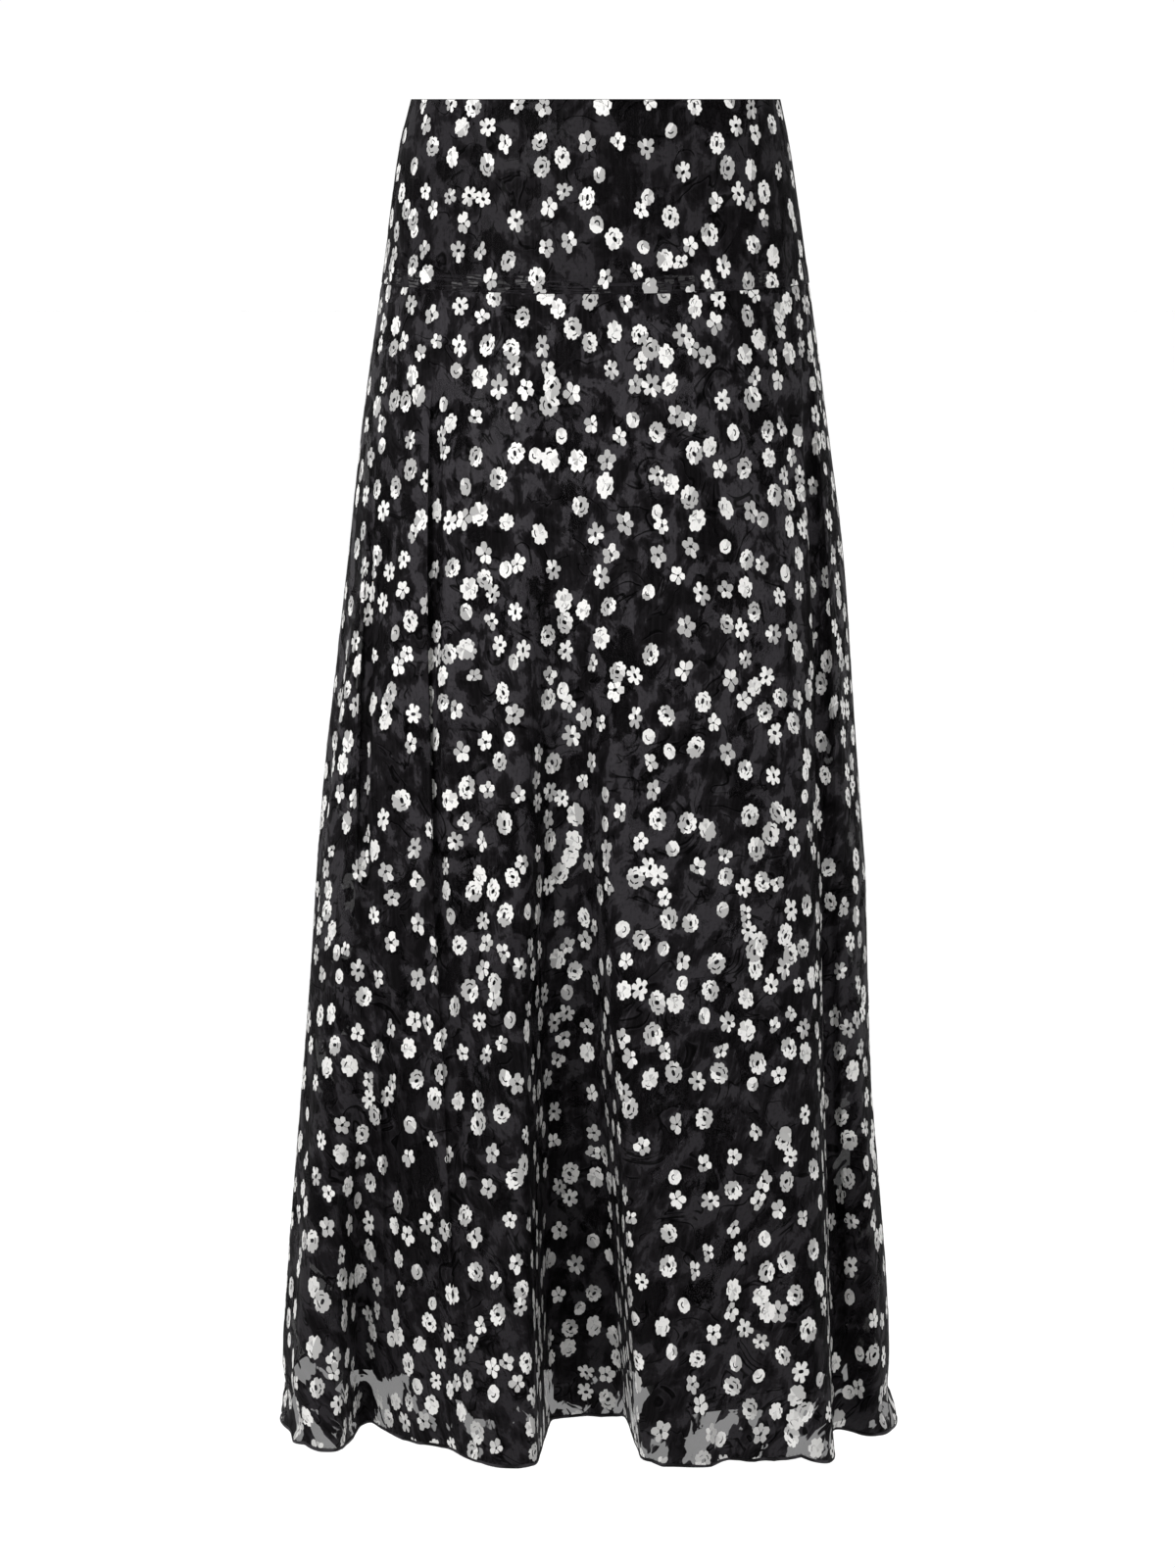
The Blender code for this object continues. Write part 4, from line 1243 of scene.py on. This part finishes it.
def stepped(cloth, rows, columns, steps):
    """The rows and columns that lie some steps in metres, rightwards and upwards, from places on a cloth.

    A step upwards is turned to rows by the cloth's slope at the place. The column is then the one whose
    distance along the nearest row is the place's own plus the step, less what the rows shear, so a form
    keeps its size over pleats.
    """
    along = cloth.at(rows, columns, cloth.along)
    down = cloth.at(rows, columns, cloth.down)
    right = along / np.linalg.norm(along, axis=1, keepdims=True)
    slant = (down * right).sum(axis=1, keepdims=True)
    drop = np.linalg.norm(down - slant * right, axis=1, keepdims=True)
    row_steps = -steps[..., 1] / drop
    new_rows = rows[:, None] + row_steps
    last_row, last_column = np.array(cloth.across.shape) - 1
    nearest = np.clip(np.round(new_rows), 0, last_row).astype(int)
    start = np.broadcast_to(columns[:, None], new_rows.shape)
    whole = np.minimum(start.astype(int), last_column - 1)
    share = start - whole
    place = cloth.across[nearest, whole] * (1.0 - share) + cloth.across[nearest, whole + 1] * share
    place = place + steps[..., 0] - row_steps * slant
    new_columns = np.empty_like(place)
    for row in np.unique(nearest):
        chosen = nearest == row
        new_columns[chosen] = np.interp(place[chosen], cloth.across[row], np.arange(last_column + 1.0))
    return new_rows, new_columns


def flower_steps(form, radius, count, random):
    """The way from each of some flowers' middles to its form's points, in metres rightwards and upwards.

    A form is turned, squashed one way, turned again, made as large as its radius, which varies, and drawn out
    along the cloth.
    """
    turn = random.uniform(0.0, 2.0 * math.pi, (2, count, 1))
    squash = random.uniform(SQUASH_LEAST, 1.0, (count, 1))
    radius = radius * random.uniform(1.0 - SIZE_VARIES, 1.0 + SIZE_VARIES, (count, 1))
    x = form[None, :, 0] * np.cos(turn[0]) - form[None, :, 1] * np.sin(turn[0])
    y = (form[None, :, 0] * np.sin(turn[0]) + form[None, :, 1] * np.cos(turn[0])) * squash
    level = x * np.cos(turn[1]) - y * np.sin(turn[1])
    upright = x * np.sin(turn[1]) + y * np.cos(turn[1])
    return radius[..., None] * np.stack([level, upright], axis=-1) * np.array(BLOOM_STRETCH)


def flower_piece(name, cloth, look, seed, closeness=1.0, lift=None):
    """All the flowers on one panel as one mesh: each kind's forms, laid on the cloth and raised by a lift.

    Faces past the cloth's edges are left out. Each flower has its own random share of thread colour, and more
    of it low on the skirt as painted shade.
    """
    random = np.random.default_rng(seed)
    sizes = bpy.context.scene.skirt_sizes
    last_row, last_column = cloth.points.shape[0] - 1, cloth.points.shape[1] - 1
    spots = scatter(cloth, random, sizes.bloom_spacing / closeness, sizes.bloom_density * closeness**2)
    all_points, all_faces, all_flat, tones, lights, count = [], [], [], [], [], 0
    for kind, bloom in enumerate(BLOOMS):
        shapes = [bloom_shape(bloom, random) for _ in range(BLOOM_VARIANTS)]
        mine = spots[spots[:, 2] == kind]
        variant = random.integers(BLOOM_VARIANTS, size=len(mine))
        for number, (form, faces, tone) in enumerate(shapes):
            here = mine[variant == number]
            if len(here) == 0:
                continue
            steps = flower_steps(form, bloom.radius, len(here), random)
            rows, columns = stepped(cloth, here[:, 0], here[:, 1], steps)
            inside = (rows > 0.0) & (rows < last_row) & (columns > 0.0) & (columns < last_column)
            stand = sizes.bloom_lift if lift is None else lift
            stand = (stand + PAIR_LIFT * here[:, 3])[:, None, None]
            laid = cloth.at(rows, columns, cloth.points) + cloth.at(rows, columns, cloth.normals) * stand
            starts = count + np.arange(len(here)) * len(form)
            corners = faces[None] + starts[:, None, None]
            shown = inside.reshape(len(here), -1)[:, faces].any(axis=-1)
            all_faces.append(corners[shown])
            tones.append(np.broadcast_to(tone, shown.shape)[shown])
            # Each flower's grey share: a random part, and painted shade that grows towards the hem
            own = YARN_GREY_VARIES * random.random((len(here), 1)) ** 2
            low = cloth.at(here[:, 0], here[:, 1], cloth.points)[:, 2:] + PAINTED_SHADE_FROM
            own = own + PAINTED_HEM_SHADE * smooth_step(-low / PAINTED_SHADE_OVER)
            lights.append(np.broadcast_to(own, shown.shape)[shown])
            all_points.append(laid.reshape(-1, 3))
            all_flat.append(cloth.at(rows, columns, cloth.flat).reshape(-1, 2))
            count += laid.shape[0] * laid.shape[1]
    points_made, faces_made = np.concatenate(all_points), np.concatenate(all_faces)
    flat = np.concatenate(all_flat)
    used = np.unique(faces_made)
    renumbered = np.zeros(len(points_made), int)
    renumbered[used] = np.arange(len(used))
    values = {"tone": np.concatenate(tones), "light": np.concatenate(lights)}
    return mesh_piece(
        name, points_made[used], renumbered[faces_made], look, flat[used], unit_map(flat[used]), values
    )


# ---------------------------------------------------------------------------------------------------------
# Pieces
# ---------------------------------------------------------------------------------------------------------


def declare(node):
    """Hides the frame's part that a sheet stands for."""
    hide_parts(node)


def look_once(name, maker, *details):
    """A material by its name, made the first time that it is asked for."""
    return bpy.data.materials.get(name) or maker(*details)


def floral_looks():
    """The looks of the outer cloth and of its flowers."""
    colours = bpy.context.scene.skirt_colours
    cloth = look_once("floral cloth", floral_look, colours)
    return cloth, look_once("cream flower yarn", flower_look, colours)


def stitch_line(name, cloth, above):
    """A line of short stitches round a cloth, some way above its lower edge."""
    scene = bpy.context.scene
    title = "black sewing thread"
    thread = look_once(title, thread_look, title, tuple(scene.skirt_colours.thread))
    stitched = line_on(cloth, above, scene.skirt_sizes.stitch_pitch)
    return bars_piece(name, *stitched, STITCH_HALF_LENGTH, STITCH_RADIUS, thread)


def yoke(side):
    """One yoke: its cloth, turned over at the waist and pressed up at the seam, and its flowers."""
    floral, yarn = floral_looks()
    name = "yoke_" + side
    cloth = panel_cloth(name)
    allowance = (ALLOWANCE_RADIUS, ALLOWANCE_LENGTH)
    piece = cloth_piece(name, floral, top=(EDGE_RADIUS, FACING_LENGTH), bottom=allowance)
    seed = PANELS[name].seed
    flowers = flower_piece(name + "_flowers", cloth, yarn, seed)
    rows = int(round(ALLOWANCE_LENGTH / YOKE_DROP * PANELS[name].rows)) + 1
    band = Cloth(cloth.points[-rows:], cloth.angle[-rows:], PANELS[name].flat)
    dim = look_once("yarn under cloth", under_look, bpy.context.scene.skirt_colours)
    under = flower_piece(name + "_seam_flowers", band, dim, seed + GHOST_SEED, GHOST_CLOSENESS, GHOST_LIFT)
    declare(name)


def skirt(side):
    """One skirt panel: its cloth and flowers, its rolled hem and the hem's stitches."""
    floral, yarn = floral_looks()
    name = "skirt_" + side
    cloth = panel_cloth(name)
    piece = cloth_piece(name, floral)
    flowers = flower_piece(name + "_flowers", cloth, yarn, PANELS[name].seed)
    random = np.random.default_rng(PANELS[name].seed + HEM_SEED)
    path, outwards = cloth.points[-1], cloth.normals[-1] * np.array([1.0, 1.0, 0.0])
    outwards = outwards / np.linalg.norm(outwards, axis=1, keepdims=True)
    hills = soft_noise(random, (1, len(path)), (len(path) // HEM_HILLS[0], HEM_HILLS[1]))[0]
    size = 1.0 + HEM_UNEVEN * hills
    rolled = carried(path, outwards, oval(HEM_HALF_DEPTH, HEM_HALF_HEIGHT, HEM_SIDES), size)
    faces = grid_faces(len(path), HEM_SIDES, closed=True)
    edge = look_once("rolled cloth edge", hem_look, bpy.context.scene.skirt_colours)
    hem = mesh_piece(name + "_hem", rolled, faces, edge)
    stitches = stitch_line(name + "_hem_stitches", cloth, HEM_HALF_HEIGHT * STITCH_ON_HEM)
    declare(name)


def lining(side):
    """One lining panel with its turned hem and the line of stitches that holds it."""
    silky = look_once("black lining", lining_look, bpy.context.scene.skirt_colours)
    name = "lining_" + side
    cloth = panel_cloth(name)
    piece = cloth_piece(name, silky, bottom=(LINING_HEM_RADIUS, LINING_HEM))
    stitches = stitch_line(name + "_stitches", cloth, LINING_HEM * STITCH_ON_LINING)
    declare(name)


def zip_coil():
    """The closed coil on the inside of the zip's strip, as a row of short bars across it.

    Each bar lies level along the seam's own line, found between two points of the ring just beside it. The
    strip and the slider keep the frame's shape and get their looks here.
    """
    scene = bpy.context.scene
    colours = scene.skirt_colours
    drops = np.arange(COIL_TOP, ZIP_DROP - COIL_HALF_WIDTH, scene.skirt_sizes.coil_pitch)
    middles, along, outwards = [], [], []
    for drop in drops:
        angles, points = ring(-drop)
        place = distance_along(points)
        seam = np.interp(RIGHT_SEAM, angles, place)
        ends = points_at(seam + np.array([-COIL_SIGHT, COIL_SIGHT]), place, points)
        across = ends[1] - ends[0]
        across /= np.hypot(*across)
        outward = np.array([across[1], -across[0]])
        middles.append([*(np.mean(ends, axis=0) - COIL_DEPTH * outward), -drop])
        along.append([*across, 0.0])
        outwards.append([*outward, 0.0])
    thread = look_once("black coil", thread_look, "black coil", tuple(colours.lacquer_worn))
    arrays = [np.array(item) for item in (middles, along, outwards)]
    coil = bars_piece("zip_coil", *arrays, COIL_HALF_WIDTH, COIL_RADIUS, thread)
    looks = {
        "zip_strip": look_once("black zip weave", tape_look, colours),
        "zip_slider": look_once("black slider lacquer", slider_look, colours),
    }
    for node, look in looks.items():
        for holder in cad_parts[node].material_slots:
            holder.material = look


# ---------------------------------------------------------------------------------------------------------
# Stage
# ---------------------------------------------------------------------------------------------------------


def make_floor():
    """A plain pale floor."""
    floor_look = Look("pale floor", roughness=0.9, specular=0.1)
    tones = [(tone, tone, tone) for tone in FLOOR_TONES]
    floor_look.set("Base Color", floor_look.mix(floor_look.speckle(FLOOR_GRAIN), *tones))
    half = FLOOR_HALF_WIDTH
    corners = [(x, y, FLOOR_HEIGHT) for x, y in ((-half, -half), (half, -half), (half, half), (-half, half))]
    mesh = bpy.data.meshes.new("floor")
    mesh.from_pydata(corners, [], [(0, 1, 2, 3)])
    mesh.materials.append(floor_look.material)
    floor = placed("floor", mesh)


def make_room():
    """The light from all round: bright behind the skirt and at its sides, and dimmer on the camera's side.

    Its brightness is a smooth step of the direction's depth. Seen straight on, the room is white all round.
    """
    world = bpy.data.worlds.new("studio")
    world.use_nodes = True
    tree = world.node_tree
    background = tree.nodes["Background"]
    background.inputs["Strength"].default_value = bpy.context.scene.skirt_sizes.room_light
    direction = tree.nodes.new("ShaderNodeTexCoord")
    parts = tree.nodes.new("ShaderNodeSeparateXYZ")
    tree.links.new(direction.outputs["Generated"], parts.inputs["Vector"])
    fade = tree.nodes.new("ShaderNodeMapRange")
    fade.interpolation_type = "SMOOTHSTEP"
    for title, number in zip(("From Min", "From Max", "To Min", "To Max"), ROOM_FADE):
        fade.inputs[title].default_value = number
    tree.links.new(parts.outputs["Y"], fade.inputs["Value"])
    path = tree.nodes.new("ShaderNodeLightPath")
    brighter = tree.nodes.new("ShaderNodeMath")
    brighter.operation = "MAXIMUM"
    tree.links.new(fade.outputs["Result"], brighter.inputs[0])
    tree.links.new(path.outputs["Is Camera Ray"], brighter.inputs[1])
    tree.links.new(brighter.outputs["Value"], background.inputs["Color"])
    bpy.context.scene.world = world


def make_lamps():
    """Two round lamps in front, each turned towards its aim, and a soft sun from behind and above."""
    for title, place, aim, size, power in LIGHTS:
        light = bpy.data.lights.new(title, "AREA")
        light.shape = "DISK"
        light.size = size
        light.energy = power
        lamp = placed(title, light)
        lamp.location = place
        lamp.rotation_euler = (Vector(aim) - Vector(place)).to_track_quat("-Z", "Y").to_euler()
    sun = bpy.data.lights.new("back light", "SUN")
    sun.energy = SUN_STRENGTH
    sun.angle = math.radians(SUN_WIDTH)
    placed("back light", sun).rotation_euler = (math.radians(-SUN_TILT), 0.0, 0.0)


def make_camera():
    """The camera of the photo, level with the waist and looking a little down."""
    scene = bpy.context.scene
    camera = bpy.data.cameras.new("camera")
    camera.lens = CAMERA_LENS
    camera.sensor_width = CAMERA_SENSOR
    viewer = placed("camera", camera)
    viewer.location = CAMERA_PLACE
    viewer.rotation_euler = (math.radians(90.0 - CAMERA_DOWN), 0.0, 0.0)
    scene.camera = viewer
    scene.view_settings.view_transform = "Standard"


# ---------------------------------------------------------------------------------------------------------
# Settings, operators and panel
# ---------------------------------------------------------------------------------------------------------


def size_setting(name, description, default, **kind):
    """A setting that is one number."""
    return bpy.props.FloatProperty(name=name, description=description, default=default, precision=5, **kind)


def length_setting(name, description, default):
    """A setting that is a length in metres."""
    return size_setting(name, description, default, min=0.0, subtype="DISTANCE", unit="LENGTH")


def colour_setting(name, description, default):
    """A setting that is a colour."""
    return bpy.props.FloatVectorProperty(
        name=name, description=description, default=default, size=3, min=0.0, max=1.0, subtype="COLOR"
    )


class SkirtSizes(bpy.types.PropertyGroup):
    """Sizes of the skirt's details."""

    bloom_density: size_setting("Flowers", "Flowers on a square metre of cloth, before pairing", 2000.0)
    bloom_spacing: length_setting("Flower spacing", "The least distance between two single flowers", 0.0145)
    bloom_lift: length_setting("Flower lift", "How far the flowers' yarn stands off the cloth", 0.00022)
    pair_share: size_setting("Paired share", "Share of flowers with one against it", 0.22, subtype="FACTOR")
    crease_strength: size_setting("Creases", "Strength of the soft creases", 1.0, subtype="FACTOR")
    hill_height: length_setting("Unevenness", "Half the height of the cloth's small hills", 0.0005)
    stitch_pitch: length_setting("Stitch pitch", "Distance from stitch to stitch on the hems", 0.0032)
    coil_pitch: length_setting("Coil pitch", "Distance from turn to turn of the zip's coil", 0.00135)
    room_light: size_setting("Room light", "Strength of the light from all round", 1.02)


class SkirtColours(bpy.types.PropertyGroup):
    """Colours of the skirt's materials."""

    # The satin patches' own colour, made lighter than the ground as painted sheen
    satin: colour_setting("Satin", "The glossy patches", (0.0330, 0.0305, 0.0345))
    ground: colour_setting("Ground", "The dense matt cloth between them", (0.0082, 0.0074, 0.0084))
    sheer: colour_setting("Sheer", "The thin cloth in places", (0.0036, 0.0032, 0.0036))
    # The streaks' painted sheen, also the colour of the pressed seam's level threads
    streak_sheen_and_thread: colour_setting("Streak", "The fine upright streaks", (0.0210, 0.0192, 0.0218))
    # Painted shade that darkens the thin wrinkles
    crease: colour_setting("Wrinkle shade", "The thin wrinkles", (0.0006, 0.0005, 0.0006))
    sheer_cover: size_setting("Sheer cover", "How much the thin cloth hides", 0.80, subtype="FACTOR")
    flower_white: colour_setting("Flower", "The white yarn", (0.86, 0.85, 0.83))
    flower_grey: colour_setting("Grey flower", "The grey yarn", (0.37, 0.365, 0.36))
    flower_thread: colour_setting("Flower thread", "The thread that crosses the yarn", (0.42, 0.415, 0.405))
    veiled_white: colour_setting("Veiled flower", "White yarn under the yoke", (0.075, 0.073, 0.075))
    veiled_grey: colour_setting("Veiled grey", "Grey yarn under the yoke", (0.038, 0.037, 0.038))
    lining: colour_setting("Lining", "The lining and the zip's tape", (0.0055, 0.0055, 0.0062))
    lining_light: colour_setting("Light lining", "Their lighter lines", (0.0090, 0.0090, 0.0100))
    thread: colour_setting("Thread", "The sewing thread", (0.012, 0.012, 0.013))
    lacquer: colour_setting("Lacquer", "The slider's lacquer", (0.018, 0.018, 0.020))
    lacquer_worn: colour_setting("Worn lacquer", "The lacquer where worn", (0.035, 0.035, 0.038))


class SKIRT_OT_yoke(bpy.types.Operator):
    """Make both yokes with their flowers, waist edge and pressed seam"""

    bl_idname = "skirt.yoke"
    bl_label = "Yoke"

    def execute(self, context):
        for side in ("front", "back"):
            yoke(side)
        return {"FINISHED"}


class SKIRT_OT_skirt(bpy.types.Operator):
    """Make both skirt panels with their flowers, rolled hems and stitches"""

    bl_idname = "skirt.skirt"
    bl_label = "Skirt panels"

    def execute(self, context):
        for side in ("front", "back"):
            skirt(side)
        return {"FINISHED"}


class SKIRT_OT_lining(bpy.types.Operator):
    """Make both lining panels with their turned hems"""

    bl_idname = "skirt.lining"
    bl_label = "Lining"

    def execute(self, context):
        for side in ("front", "back"):
            lining(side)
        return {"FINISHED"}


class SKIRT_OT_zip(bpy.types.Operator):
    """Make the zip's coil and give its strip and slider their looks"""

    bl_idname = "skirt.zip"
    bl_label = "Zip"

    def execute(self, context):
        zip_coil()
        return {"FINISHED"}


class SKIRT_OT_studio(bpy.types.Operator):
    """Make the floor, the lights and the camera"""

    bl_idname = "skirt.studio"
    bl_label = "Studio"

    def execute(self, context):
        make_floor()
        make_room()
        make_lamps()
        make_camera()
        return {"FINISHED"}


OPERATORS = (SKIRT_OT_yoke, SKIRT_OT_skirt, SKIRT_OT_lining, SKIRT_OT_zip, SKIRT_OT_studio)


class SKIRT_PT_panel(bpy.types.Panel):
    """The skirt's settings and its pieces"""

    bl_idname = "SKIRT_PT_panel"
    bl_label = "Floral midi skirt"
    bl_space_type = "VIEW_3D"
    bl_region_type = "UI"
    bl_category = "Skirt"

    def draw(self, context):
        for settings in (context.scene.skirt_sizes, context.scene.skirt_colours):
            for title in type(settings).__annotations__:
                self.layout.prop(settings, title)
        for operator in OPERATORS:
            self.layout.operator(operator.bl_idname)


CLASSES = (SkirtSizes, SkirtColours, *OPERATORS, SKIRT_PT_panel)


def register():
    """Registers the classes and the scene's two groups of settings."""
    for item in CLASSES:
        bpy.utils.register_class(item)
    bpy.types.Scene.skirt_sizes = bpy.props.PointerProperty(type=SkirtSizes)
    bpy.types.Scene.skirt_colours = bpy.props.PointerProperty(type=SkirtColours)


def unregister():
    """Takes away what register added."""
    del bpy.types.Scene.skirt_colours
    del bpy.types.Scene.skirt_sizes
    for item in reversed(CLASSES):
        bpy.utils.unregister_class(item)


def main():
    """Makes every piece in order."""
    register()
    bpy.ops.skirt.yoke()
    bpy.ops.skirt.skirt()
    bpy.ops.skirt.lining()
    bpy.ops.skirt.zip()
    bpy.ops.skirt.studio()


if __name__ == "__main__":
    main()
